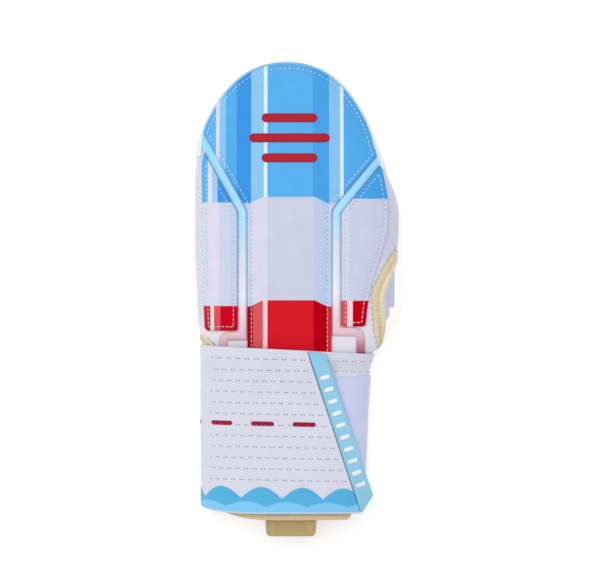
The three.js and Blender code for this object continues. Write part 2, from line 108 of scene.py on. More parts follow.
def smoothstep(value: float, low: float, high: float) -> float:
    """Smooth climb from 0 at low to 1 at high."""
    share = min(max((value - low) / (high - low), 0.0), 1.0)
    return share * share * (3 - 2 * share)


def signed_power(value: float, power: float) -> float:
    """Power of a value's size, with the value's sign."""
    return math.copysign(abs(value) ** power, value)


def last_inside(test: Callable[[float], bool], reach: float) -> float:
    """Distance at which a test stops being true.

    Args:
        test: True near 0 and False at reach.
        reach: Furthest distance that is looked at.

    Returns:
        The distance, by halving.
    """
    near, far = 0.0, reach
    for _ in range(24):
        middle = (near + far) / 2
        if test(middle):
            near = middle
        else:
            far = middle
    return near


# Form of the hand pouch, which every layer lies on


@dataclass(frozen=True)
class Section:
    """One cross-section of the pouch."""

    y: float
    centre: float
    half: float
    up: float
    down: float
    floor: float


@dataclass(frozen=True)
class MittForm:
    """Outer form of the pouch and the thicknesses of the layers on it."""

    gap: float = 0.3
    strap_gap: float = 0.6
    wall: float = 4.0
    panel: float = 2.5
    strap: float = 2.2
    palm_level: float = 2.8
    mid_level: float = 17.0
    tip_y: float = 152.5
    mouth_y: float = -139.0
    dome_y: float = 40.0
    dome_round: float = 2.3
    lean_x: float = -6.5
    lean_from: float = 45.0
    lean_to: float = 112.0
    tip_thinning: float = 0.34
    nose_round: float = 0.3
    palm_sink: float = 3.0
    back_round: float = 3.2
    palm_round: float = 5.0
    bow: float = 12.0
    bow_power: float = 3.0
    bow_from: float = 100.0
    bow_right: float = 0.88  # share of the half width from which the wrist edge runs back at the thumb side
    rim_edge: tuple[tuple[float, float], ...] = (  # y and height
        (84.5, 32.5),
        (93, 32.5),
        (114, 28),
        (200, 27.5),
    )
    side_inset: float = 2.2  # the back panels stop this far inside the outline
    tip_inset: float = 0.1  # and this far round the fingertips
    inset_from: float = 92.0
    inset_to: float = 114.0
    stations: tuple[tuple[float, float, float, float], ...] = (  # y, left, right, height of the back
        (-150, -59.7, 40, 36),
        (-95, -59.9, 42.2, 37),
        (-55, -60, 44.2, 38),
        (-42, -60, 46.3, 39),
        (-36, -60, 49, 40),
        (-31, -60.2, 54.8, 41),
        (-22, -63, 57.8, 43),
        (4, -65.2, 63.5, 45.5),
        (40, -66.5, 66.5, 47),
    )

    def station(self, y: float) -> list[float]:
        """Left edge, right edge and back height at y, on a smooth line through the stations.

        Args:
            y: Place along the hand.

        Returns:
            The two edges and the height.
        """
        rows = self.stations
        y = min(max(y, rows[0][0]), rows[-1][0])
        i = next(k for k in range(1, len(rows)) if y <= rows[k][0])
        here, there = rows[i - 1], rows[i]
        before = rows[i - 2] if i > 1 else there
        after = rows[i + 1] if i + 1 < len(rows) else here
        half = (there[0] - here[0]) / 2
        wp = half / (here[0] - before[0])
        wn = half / (after[0] - there[0])
        p = (y - here[0]) / (2 * half)
        pp, ppp = p * p, p * p * p
        weights = (
            -wp * ppp + 2 * wp * pp - wp * p,
            (1 + wp) * ppp - (1.5 + 2 * wp) * pp + (wp - 0.5) * p + 1,
            (-1 - wn) * ppp + (1.5 + wn) * pp + 0.5 * p,
            wn * ppp - wn * pp,
        )
        return [sum(w * row[c] for w, row in zip(weights, (before, here, there, after))) for c in (1, 2, 3)]

    def section(self, y: float, grow: float = 0.0) -> Section:
        """Cross-section at y, with its surface moved out by grow.

        Args:
            y: Place along the hand.
            grow: How far the surface is moved out.

        Returns:
            The cross-section.
        """
        left, right, back = self.station(min(y, self.dome_y))
        rise = min(max((y - self.dome_y) / (self.tip_y - self.dome_y + grow), 0.0), 1.0)
        close = math.sqrt(1 - rise * rise)
        nose = close**self.nose_round
        crown = (back - self.mid_level) * (1 - self.tip_thinning * rise * rise)
        return Section(
            y=y,
            centre=(left + right) / 2 + self.lean_x * smoothstep(y, self.lean_from, self.lean_to),
            half=((right - left) / 2 + grow) * close ** (2 / self.dome_round),
            up=(crown + grow) * nose,
            down=(self.mid_level - self.palm_level + self.palm_sink + grow) * nose,
            floor=self.palm_level - grow,
        )

    def rim(self, section: Section, angle: float) -> Vector:
        """Point on a section's rim. Angle 0 is the crown, and a quarter turn is the thumb side.

        Args:
            section: The cross-section.
            angle: Angle round it.

        Returns:
            The point.
        """
        across, upward = math.sin(angle), math.cos(angle)
        power = 2 / (self.back_round if upward > 0 else self.palm_round)
        reach = signed_power(across, power)
        height = (section.up if upward > 0 else section.down) * signed_power(upward, power)
        bend = abs(reach) ** self.bow_power if reach < 0 else smoothstep(reach, self.bow_right, 1.0)
        bow = self.bow * bend * smoothstep(-section.y, self.bow_from, -self.mouth_y)
        level = max(self.mid_level + height, section.floor)
        return Vector((section.centre + section.half * reach, section.y + bow, level))

    def back_angle(self, section: Section, x: float) -> float:
        """Angle at which the back of a section has this x."""
        reach = min(max((x - section.centre) / section.half, -1.0), 1.0)
        return math.asin(signed_power(reach, self.back_round / 2))

    def back_height(self, x: float, y: float, grow: float) -> float:
        """Height of the back over a point of the plan.

        Args:
            x: Place across the hand.
            y: Place along the hand.
            grow: How far the surface is moved out.

        Returns:
            The height.
        """
        section = self.section(y, grow)
        reach = min(abs(x - section.centre) / max(section.half, 1e-6), 1.0)
        return self.mid_level + section.up * (1 - reach**self.back_round) ** (1 / self.back_round)

    def on_back(self, x: float, y: float, grow: float) -> Vector:
        """Point on the back over a point of the plan, above the tip rim."""
        return Vector((x, y, max(self.back_height(x, y, grow), self.rim_level(y) + self.gap)))

    def back_normal(self, x: float, y: float, grow: float) -> Vector:
        """Direction straight out of the back over a point of the plan.

        Args:
            x: Place across the hand.
            y: Place along the hand.
            grow: How far the surface is moved out.

        Returns:
            The direction.
        """
        step = 0.4
        slope_x = self.back_height(x + step, y, grow) - self.back_height(x - step, y, grow)
        slope_y = self.back_height(x, y + step, grow) - self.back_height(x, y - step, grow)
        return Vector((-slope_x, -slope_y, 2 * step)).normalized()

    def fullness(self, point: Vector, grow: float) -> float:
        """How far out a point lies: below 1 inside the pouch's form, without its flat floor.

        Args:
            point: The point.
            grow: How far the surface is moved out.

        Returns:
            The share of the form's reach.
        """
        section = self.section(point.y, grow)
        upper = point.z > self.mid_level
        power = self.back_round if upper else self.palm_round
        height = abs(point.z - self.mid_level) / max(section.up if upper else section.down, 1e-6)
        return height**power + (abs(point.x - section.centre) / max(section.half, 1e-6)) ** power

    def inside(self, point: Vector, grow: float) -> bool:
        """Whether a point lies in the pouch's form."""
        return point.z > self.palm_level - grow and self.fullness(point, grow) < 1

    def outward(self, point: Vector, grow: float) -> Vector:
        """Direction straight out of the pouch's form at a point of its surface.

        Args:
            point: The point.
            grow: How far the surface is moved out.

        Returns:
            The direction.
        """
        step = 0.4
        if point.z < self.palm_level - grow + step:
            return Vector((0, 0, -1))
        steps = (Vector((step, 0, 0)), Vector((0, step, 0)), Vector((0, 0, step)))
        slopes = [self.fullness(point + s, grow) - self.fullness(point - s, grow) for s in steps]
        return Vector(slopes).normalized()

    def rim_level(self, y: float) -> float:
        """Height of the tip rim's upper edge, where the panels stop."""
        return float(np.interp(y, *zip(*self.rim_edge))) if y > self.rim_edge[0][0] else 0.0

    def panel_inset(self, y: float) -> float:
        """How far inside the plan outline the back panels stop."""
        return lerp(self.side_inset, self.tip_inset, smoothstep(y, self.inset_from, self.inset_to))

    def outline_x(self, y: float, side: Side, tip_inset: float, inset: float) -> float:
        """Edge of the plan outline at y, moved in by an inset at the tip and one here."""
        section = self.section(y, -tip_inset)
        return section.centre + side.value * (section.half + tip_inset - inset)

    def panel_limit(self, y: float, side: Side) -> float:
        """Outer limit of the back panels at y."""
        return self.outline_x(y, side, self.tip_inset, self.panel_inset(y))

    def in_limit(self, point: Vector) -> bool:
        """Whether a point of the plan lies within the back panels' limit."""
        low, high = (self.panel_limit(point.y, side) for side in Side)
        return low < point.x < high

    def dome_levels(self, y: float, inset: float, steps: int) -> list[float]:
        """Places along the hand from y to the fingertip, closer together towards the tip."""
        return [lerp(y, self.tip_y - inset, math.sin(TURN / 4 * i / steps)) for i in range(steps + 1)]

    def girth(
        self, place: Callable[[float], Vector], start: float, end: float
    ) -> tuple[np.ndarray, np.ndarray]:
        """Angles and the lengths along a line round the wrist up to each.

        Args:
            place: Gives the point at an angle.
            start: First angle.
            end: Last angle.

        Returns:
            The angles, and the length from the first to each.
        """
        angles = np.linspace(start, end, 900)
        points = np.array([place(float(angle)) for angle in angles])
        steps = np.linalg.norm(np.diff(points, axis=0), axis=1)
        return angles, np.concatenate([[0.0], np.cumsum(steps)])


# Lines in the plan


@dataclass(frozen=True)
class Corner:
    """Corner of a line in the plan, with its rounding."""

    x: float
    y: float
    r: float = 0.0


def rounded_path(corners: Sequence[Corner], closed: bool, steps: int = 6) -> list[Vector]:
    """Line through corners, each rounded by its r.

    Args:
        corners: The corners in order.
        closed: Whether the last joins the first.
        steps: Points on each rounding.

    Returns:
        The line's points.
    """
    points: list[Vector] = []
    for i, corner in enumerate(corners):
        here = Vector((corner.x, corner.y))
        ends = not closed and i in (0, len(corners) - 1)
        if ends or not corner.r:
            points.append(here)
            continue
        other = [corners[i - 1], corners[(i + 1) % len(corners)]]
        start, end = (here + (Vector((c.x, c.y)) - here).normalized() * corner.r for c in other)
        for k in range(steps + 1):
            share = k / steps
            points.append(start.lerp(here, share).lerp(here.lerp(end, share), share))
    return points


def offset_path(points: Line, distance: float) -> list[Vector]:
    """Open line moved sideways, to the left of its direction where distance is positive.

    Args:
        points: The line.
        distance: How far it is moved.

    Returns:
        The moved line.
    """

    def side_of(i: int) -> Vector:
        """Direction to the left of a stretch of the line."""
        way = (points[i + 1] - points[i]).normalized()
        return Vector((-way.y, way.x))

    moved = []
    for i, point in enumerate(points):
        before = side_of(max(i - 1, 0))
        after = side_of(min(i, len(points) - 2))
        miter = (before + after).normalized()
        moved.append(point + miter * (distance / miter.dot(after)))
    return moved


def turned_left(outline: Line) -> list[Vector]:
    """Outline in the order that keeps its inside on the left."""
    area = sum(a.x * b.y - b.x * a.y for a, b in zip(outline, [*outline[1:], outline[0]]))
    return list(outline) if area > 0 else list(reversed(outline))


def edge_distance(points: np.ndarray, outline: np.ndarray) -> np.ndarray:
    """Distance of each point of the plan from a closed outline.

    Args:
        points: The points, one in each row.
        outline: Corners of the outline, one in each row.

    Returns:
        The distances.
    """
    best = np.full(len(points), np.inf)
    for start, end in zip(outline, np.roll(outline, -1, axis=0)):
        way = end - start
        share = np.clip(((points - start) @ way) / max(way @ way, 1e-12), 0, 1)
        off = points - start - share[:, None] * way
        best = np.minimum(best, np.hypot(off[:, 0], off[:, 1]))
    return best


class Trail:
    """A line measured along its length."""

    def __init__(self, points: Line, closed: bool = False) -> None:
        """Takes the line's points, and joins the last to the first if it is closed.

        Args:
            points: The line.
            closed: Whether it is a loop.
        """
        line = [*points, points[0]] if closed else list(points)
        self.closed = closed
        self.points = np.array([tuple(p) for p in line], float)
        steps = np.linalg.norm(np.diff(self.points, axis=0), axis=1)
        self.marks = np.concatenate([[0.0], np.cumsum(steps)])
        self.length = float(self.marks[-1])

    def at(self, distance: float) -> Vector:
        """Point at a distance from the start."""
        place = distance % self.length if self.closed else distance
        return Vector([float(np.interp(place, self.marks, column)) for column in self.points.T])

    def heading(self, distance: float, step: float = 0.6) -> Vector:
        """Direction of the line at a distance from the start.

        Args:
            distance: Distance from the start.
            step: How far before and after it the line is read.

        Returns:
            The direction.
        """
        low, high = distance - step, distance + step
        if not self.closed:
            low, high = max(low, 0.0), min(high, self.length)
        return (self.at(high) - self.at(low)).normalized()

    def stations(self, pitch: float) -> list[float]:
        """Even distances along the line, about a pitch apart."""
        count = max(int(round(self.length / pitch)), 1)
        return [self.length * (i + 0.5) / count for i in range(count)]


def inset_trail(outline: Line, distance: float) -> Trail:
    """Closed line at an even distance inside an outline.

    Args:
        outline: The outline, with its inside on the left.
        distance: How far inside the line is.

    Returns:
        The line.
    """
    edge = Trail(outline, closed=True)
    moved = []
    for mark in edge.stations(0.5):
        way = edge.heading(mark, 0.05)
        moved.append(edge.at(mark) + Vector((-way.y, way.x)) * distance)
    places = np.array([tuple(p) for p in moved])
    clear = edge_distance(places, edge.points[:-1]) > distance - 0.03
    return Trail([p for p, keep in zip(moved, clear) if keep], closed=True)


# Modelling


def to_object(name: str, mesh: bmesh.types.BMesh) -> Piece:
    """Puts a mesh into the scene.

    Args:
        name: Name of the object.
        mesh: Its mesh, which is freed.

    Returns:
        The object, at the origin.
    """
    data = bpy.data.meshes.new(name)
    mesh.to_mesh(data)
    mesh.free()
    piece = bpy.data.objects.new(name, data)
    bpy.context.scene.collection.objects.link(piece)
    return piece


class Pattern:
    """A piece in the making: a flat pattern with a relief, which is then wrapped onto the mitt."""

    def __init__(self) -> None:
        """Starts an empty pattern."""
        self.mesh = bmesh.new()
        self.outline = np.zeros((0, 2))

    @classmethod
    def from_outline(cls, outline: Line, loops: Sequence[float] = (0.15, 0.3, 0.6)) -> "Pattern":
        """Pattern cut to an outline.

        Args:
            outline: Points of the outline.
            loops: Widths of the bands of faces that follow its edge.

        Returns:
            The flat pattern.
        """
        pattern = cls()
        points = turned_left(outline)
        pattern.outline = np.array([tuple(p) for p in points])
        face = pattern.mesh.faces.new([pattern.mesh.verts.new((p.x, p.y, 0)) for p in points])
        face.normal_update()
        for width in loops:
            bmesh.ops.inset_region(pattern.mesh, faces=[face], thickness=width, use_even_offset=True)
        return pattern

    @classmethod
    def from_grid(cls, columns: Sequence[float], rows: Sequence[float]) -> "Pattern":
        """Rectangular pattern with lines at these places.

        Args:
            columns: Places across.
            rows: Places along.

        Returns:
            The flat pattern.
        """
        pattern = cls()
        across, along = len(columns) - 1, len(rows) - 1
        bmesh.ops.create_grid(pattern.mesh, x_segments=across, y_segments=along, size=1)
        for vert in pattern.mesh.verts:
            column = round((vert.co.x + 1) / 2 * across)
            row = round((vert.co.y + 1) / 2 * along)
            vert.co = (columns[column], rows[row], 0)
        return pattern

    def cut_grid(self, pitch: float) -> "Pattern":
        """Cuts the pattern along straight lines, so that it can bend.

        Args:
            pitch: Distance between the lines.

        Returns:
            The pattern.
        """
        for axis in (0, 1):
            normal = Vector((1, 0, 0)) if axis == 0 else Vector((0, 1, 0))
            places = [vert.co[axis] for vert in self.mesh.verts]
            for k in range(math.ceil(min(places) / pitch), math.floor(max(places) / pitch) + 1):
                geom = self.mesh.verts[:] + self.mesh.edges[:] + self.mesh.faces[:]
                cut = normal * (k * pitch)
                bmesh.ops.bisect_plane(self.mesh, geom=geom, dist=1e-3, plane_co=cut, plane_no=normal)
        return self

    def distances(self) -> np.ndarray:
        """Distance of each vertex from the outline."""
        return edge_distance(np.array([vert.co.xy for vert in self.mesh.verts]), self.outline)

    def refine_edge(self, width: float) -> "Pattern":
        """Halves the faces near the outline.

        Args:
            width: How far from the outline.

        Returns:
            The pattern.
        """
        near = self.distances() < width
        self.mesh.verts.index_update()
        edges = [e for e in self.mesh.edges if near[e.verts[0].index] and near[e.verts[1].index]]
        bmesh.ops.subdivide_edges(self.mesh, edges=edges, cuts=1, use_grid_fill=True)
        return self

    def raise_face(self, relief: Callable[[float, Vector], float]) -> "Pattern":
        """Sets the height of each vertex from its distance to the outline and its place.

        Args:
            relief: Gives the height.

        Returns:
            The pattern.
        """
        for vert, distance in zip(self.mesh.verts, self.distances()):
            vert.co.z = relief(float(distance), vert.co)
        return self

    def close_below(self, level: float = 0.0) -> "Pattern":
        """Closes the pattern with walls and an underside at a level.

        Args:
            level: Height of the underside.

        Returns:
            The pattern.
        """
        made = bmesh.ops.extrude_face_region(self.mesh, geom=self.mesh.faces[:], use_keep_orig=True)
        for item in made["geom"]:
            if isinstance(item, bmesh.types.BMVert):
                item.co.z = level
        return self

    def keep_map(self, place: Optional[Callable[[Vector], tuple[float, float]]] = None) -> "Pattern":
        """Keeps the flat pattern as a UV map in metres.

        Args:
            place: Gives a vertex's place on the map, if not its own.

        Returns:
            The pattern.
        """
        layer = self.mesh.loops.layers.uv.new(PATTERN_MAP)
        for face in self.mesh.faces:
            for loop in face.loops:
                u, v = place(loop.vert.co) if place else loop.vert.co.xy
                loop[layer].uv = (u * MM, v * MM)
        return self

    def wrap(self, place: Place, merge: float = 0.0) -> "Pattern":
        """Moves each vertex from the flat pattern to its place on the mitt.

        Args:
            place: Gives a vertex's place on the mitt.
            merge: Vertices closer than this are joined.

        Returns:
            The pattern.
        """
        for vert in self.mesh.verts:
            vert.co = place(vert.co)
        if merge:
            bmesh.ops.remove_doubles(self.mesh, verts=self.mesh.verts[:], dist=merge)
        return self

    def finish(self, name: str, *materials: Material) -> Piece:
        """Makes the piece's object, in metres.

        Args:
            name: Name of the piece.
            materials: Its materials, in the order of the faces' material numbers.

        Returns:
            The object, at the origin.
        """
        bmesh.ops.recalc_face_normals(self.mesh, faces=self.mesh.faces[:])
        bmesh.ops.scale(self.mesh, vec=(MM, MM, MM), verts=self.mesh.verts[:])
        for face in self.mesh.faces:
            face.smooth = True
        piece = to_object(name, self.mesh)
        for material in materials:
            piece.data.materials.append(material)
        return piece


def rolled(distance: float, radius: float) -> float:
    """How far a rolled edge lies below its face at a distance from the outline.

    Args:
        distance: Distance from the outline.
        radius: Radius of the roll.

    Returns:
        The depth.
    """
    if distance >= radius:
        return 0.0
    return radius - math.sqrt(max(radius**2 - (radius - distance) ** 2, 0.0))


def groove(distance: float, middle: float, width: float) -> float:
    """Depth share of a soft groove."""
    return math.exp(-(((distance - middle) / width) ** 2))


def dress(piece: Piece, slot: Optional[Slot] = None, nodes: Sequence[str] = ()) -> Piece:
    """Puts a finished piece on the mitt's body.

    Args:
        piece: The finished piece.
        slot: Not used; the record's material slot of the piece's finish.
        nodes: Solids that it stands for.

    Returns:
        The piece.
    """
    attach(piece, "root")
    if nodes:
        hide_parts(*nodes)
    LOG.info("%s: %d faces", piece.name, len(piece.data.polygons))
    return piece


@dataclass
class Sewing:
    """Rows of stitches, or of dark strands of painted shade at needle holes, made as one mesh of thread."""

    radius: float = 0.3
    pattern: Pattern = field(default_factory=Pattern)

    def stitch(self, start: Vector, end: Vector, out: Vector, flat: float = 0.8) -> None:
        """Adds one stitch as a plump strand.

        Args:
            start: Where the thread comes up.
            end: Where it goes down.
            out: Direction out of the cloth.
            flat: Share of its width that it stands up.
        """
        way = end - start
        along = way.normalized()
        across = out.cross(along).normalized()
        up = along.cross(across)
        turn = Matrix((across * self.radius, up * self.radius * flat, along * way.length / 2)).transposed()
        place = Matrix.Translation((start + end) / 2) @ turn.to_4x4()
        bmesh.ops.create_uvsphere(self.pattern.mesh, u_segments=8, v_segments=6, radius=1, matrix=place)

    def finish(self, name: str, material: Material) -> Piece:
        """Makes the joined stitches a piece."""
        return dress(self.pattern.finish(name, material))


# Finishes


def linear(code: str) -> tuple[float, float, float, float]:
    """Linear colour of an sRGB hex value.

    Args:
        code: The colour as #rrggbb.

    Returns:
        Red, green, blue and alpha.
    """
    parts = [int(code[i : i + 2], 16) / 255 for i in (1, 3, 5)]
    red, green, blue = (c / 12.92 if c <= 0.04045 else ((c + 0.055) / 1.055) ** 2.4 for c in parts)
    return red, green, blue, 1.0


def feed(node: Node, inputs: Inputs) -> None:
    """Gives a node's inputs their values and links.

    Args:
        node: The node.
        inputs: Values, or sockets to link, by the name or number of the input.
    """
    for key, value in inputs.items():
        if isinstance(value, Socket):
            node.id_data.links.new(value, node.inputs[key])
        else:
            node.inputs[key].default_value = value


def add_node(
    tree: Tree, kind: str, inputs: Optional[Inputs] = None, out: Union[int, str] = 0, **settings: Any
) -> Socket:
    """Adds a node with its settings and links.

    Args:
        tree: Node tree of the material.
        kind: Blender's name of the node type, after the words ShaderNode.
        inputs: Values, or sockets to link, by the name or number of the input.
        out: Name or number of the output that is wanted.
        settings: Attributes of the node. bands are a ramp's stops with hard edges, and fade its soft stops.

    Returns:
        The output.
    """
    node = tree.nodes.new(f"ShaderNode{kind}")
    for name, value in settings.items():
        if name in ("bands", "fade"):
            ramp = node.color_ramp
            ramp.interpolation = "CONSTANT" if name == "bands" else "LINEAR"
            for stop in value[2:]:
                ramp.elements.new(stop[0])
            for element, (position, code) in zip(ramp.elements, value):
                element.position = position
                element.color = linear(code)
        else:
            setattr(node, name, value)
    feed(node, inputs or {})
    return node.outputs[out]


def wave_scale(pitch: float) -> float:
    """Scale of a wave texture whose bands are a pitch apart, in millimetres."""
    return TURN / (20 * pitch * MM)


def noise_scale(size: float) -> float:
    """Scale of a noise texture whose clouds are a size across, in millimetres."""
    return 1 / (size * MM)


@dataclass(frozen=True)
class Finish:
    """A surface: its name, and how it takes the light."""

    name: str
    roughness: float
    ior: float = 1.5
    gloss: float = 0.5  # share of the mirror reflection, in Blender's scale: loose fibres scatter most of it

    def surface(self, add: AddNode) -> Inputs:
        """Inputs of the surface shader that a kind of finish adds nodes for."""
        raise NotImplementedError

    def make(self) -> Material:
        """Makes the material.

        Returns:
            The material, with its surface shader fed by the finish's nodes.
        """
        material = bpy.data.materials.new(self.name)
        material.use_nodes = True
        tree = material.node_tree
        inputs = {"Roughness": self.roughness, "IOR": self.ior, "Specular IOR Level": self.gloss}
        inputs.update(self.surface(partial(add_node, tree)))
        feed(tree.nodes["Principled BSDF"], inputs)
        return material

    def cloth_map(self, add: AddNode) -> Socket:
        """Coordinates along the cloth, in metres."""
        return add("UVMap", uv_map=PATTERN_MAP)

    def place(self, add: AddNode) -> Socket:
        """Coordinates on the mitt, in metres."""
        return add("TexCoord", out="Object")

    def yarns(self, add: AddNode, where: Socket, pitch: float) -> Socket:
        """Height of crossing yarns.

        Args:
            add: Adds a node to the material.
            where: Coordinates along the cloth.
            pitch: Distance between yarns, in millimetres.

        Returns:
            The height, from 0 to 1.
        """
        wave = {"Vector": where, "Scale": wave_scale(pitch)}
        warp, weft = (add("TexWave", wave, "Fac", bands_direction=axis) for axis in "XY")
        total = add("Math", {0: warp, 1: weft}, operation="ADD")
        return add("Math", {0: total, 1: 0.5}, operation="MULTIPLY")

    def tone(self, add: AddNode, colour: Colour, by: Socket, least: float, most: float) -> Socket:
        """Colour made darker and lighter by a pattern.

        Args:
            add: Adds a node to the material.
            colour: The colour.
            by: Pattern from 0 to 1.
            least: Brightness where the pattern is 0.
            most: Brightness where it is 1.

        Returns:
            The toned colour.
        """
        value = add("MapRange", {"Value": by, "To Min": least, "To Max": most})
        return add("HueSaturation", {"Value": value, "Color": colour})

    def mottle(
        self, add: AddNode, colour: Colour, where: Socket, size: float, spread: float, detail: float
    ) -> Socket:
        """Colour with soft clouds in it.

        Args:
            add: Adds a node to the material.
            colour: The colour.
            where: Coordinates of the clouds.
            size: Their size, in millimetres.
            spread: How much darker and lighter they are, as a share.
            detail: Number of finer clouds in them.

        Returns:
            The mottled colour.
        """
        cloud = add("TexNoise", {"Vector": where, "Scale": noise_scale(size), "Detail": detail}, "Fac")
        return self.tone(add, colour, cloud, 1 - spread, 1 + spread)

    def relief(self, add: AddNode, height: Socket, depth: float) -> Socket:
        """Normal of a surface with a relief of a depth in millimetres."""
        return add("Bump", {"Height": height, "Distance": depth * MM, "Strength": 1.0})


@dataclass(frozen=True)
class PrintedPolyester(Finish):
    """Knitted polyester face with a printed film: even, satin, with a fine knit that only close views show.

    Bands run along the hand in three zones: blue at the fingers, pale in the middle and red at the wrist.
    Each band gives the x where it starts, in millimetres.
    """

    roughness: float = 0.5
    gloss: float = 0.0
    blue: Bands = ()
    pale: Bands = ()
    red: Bands = ()
    blue_foot: float = 65.7
    red_top: float = -0.9
    middle: float = -5.0
    level_half: float = 16.6
    slope_half: float = 25.0
    drop: float = 4.0
    reach: float = 75.0
    soft: float = 0.25  # half width of a zone's printed edge
    knit_pitch: float = 1.1

    def stops(self, bands: Bands) -> Bands:
        """Bands as stops of a colour ramp."""
        return tuple(((x + self.reach) / (2 * self.reach), code) for x, code in bands)

    def surface(self, add: AddNode) -> Inputs:
        """Prints the bands of the three zones on the knit.

        Args:
            add: Adds a node to the material.

        Returns:
            Inputs of the surface shader.
        """
        where = self.place(add)
        x, y, _ = add("SeparateXYZ", {0: where}).node.outputs
        across = add("MapRange", {"Value": x, "From Min": -self.reach * MM, "From Max": self.reach * MM})
        zones = (self.blue, self.pale, self.red)
        blue, pale, red = (add("ValToRGB", {0: across}, bands=self.stops(bands)) for bands in zones)
        off = add("Math", {0: x, 1: self.middle * MM}, operation="SUBTRACT")
        slope = {
            "Value": add("Math", {0: off}, operation="ABSOLUTE"),
            "From Min": self.level_half * MM,
            "From Max": self.slope_half * MM,
            "To Max": self.drop * MM,
        }
        along = add("Math", {0: y, 1: add("MapRange", slope)}, operation="ADD")
        colour = pale
        for level, soft, zone in ((self.blue_foot, self.soft, blue), (self.red_top, -self.soft, red)):
            edge = {"Value": along, "From Min": (level - soft) * MM, "From Max": (level + soft) * MM}
            colour = add("Mix", {0: add("MapRange", edge), 6: colour, 7: zone}, 2, data_type="RGBA")
        knit = self.yarns(add, where, self.knit_pitch)
        clouded = self.mottle(add, colour, where, 9, 0.06, 4)
        return {
            "Base Color": self.tone(add, clouded, knit, 0.975, 1.02),
            "Normal": self.relief(add, knit, 0.05),
        }


@dataclass(frozen=True)
class SpacerKnit(Finish):
    """Polyester spacer knit: a matt, pale face with staggered small cells, open at the little finger. Painted
    shade greys the cells and darkens the thumb side.
    """

    light: str = "#ebebf6"
    # painted shade: darker knit on the thumb side, as if turned away from the light
    thumb_side_shade: str = "#d6d7ea"
    # painted shade: grey of the open cells, standing for the shade in their depth
    cell: str = "#a2a3b8"
    cell_pitch: float = 3.2
    row_pitch: float = 3.0
    cells_from: float = 30.0
    closed: float = 0.12
    shade_from: float = 44.0
    shade_to: float = 60.0
    plain_below: float = -20.0
    cells_above: float = -8.0

    def surface(self, add: AddNode) -> Inputs:
        """Knits the cells, which close towards the thumb and the wrist, and paints shade in the cells and on
        the thumb side.

        Args:
            add: Adds a node to the material.

        Returns:
            Inputs of the surface shader.
        """
        where = self.cloth_map(add)
        u, v, _ = add("SeparateXYZ", {0: where}).node.outputs
        crests = []
        for axis, pitch in ((u, self.cell_pitch), (v, self.row_pitch)):
            phase = add("Math", {0: axis, 1: TURN / (pitch * MM)}, operation="MULTIPLY")
            crests.append(add("Math", {0: phase}, operation="COSINE"))
        lattice = add("Math", {0: crests[0], 1: crests[1]}, operation="MULTIPLY")
        cells = add("MapRange", {"Value": lattice, "From Min": 0.45, "From Max": 0.8})
        x, y, _ = add("SeparateXYZ", {0: self.place(add)}).node.outputs
        limits = (
            {"Value": x, "From Min": 0.0, "From Max": -self.cells_from * MM, "To Min": self.closed},
            {"Value": y, "From Min": self.plain_below * MM, "From Max": self.cells_above * MM},
        )
        for limit in limits:
            cells = add("Math", {0: cells, 1: add("MapRange", limit)}, operation="MULTIPLY")
        # painted shade: the face darkens to the thumb side's shaded colour across the side of the pouch
        turned = {"Value": x, "From Min": self.shade_from * MM, "From Max": self.shade_to * MM}
        sides = {0: add("MapRange", turned), 6: linear(self.light), 7: linear(self.thumb_side_shade)}
        face = add("Mix", sides, 2, data_type="RGBA")
        # painted shade: the open cells take the grey of the shade inside them
        base = add("Mix", {0: cells, 6: face, 7: linear(self.cell)}, 2, data_type="RGBA")
        filled = add("Math", {0: 1.0, 1: cells}, operation="SUBTRACT")
        return {
            "Base Color": self.mottle(add, base, where, 6, 0.05, 3),
            "Sheen Weight": 0.3,
            "Normal": self.relief(add, filled, 0.35),
        }


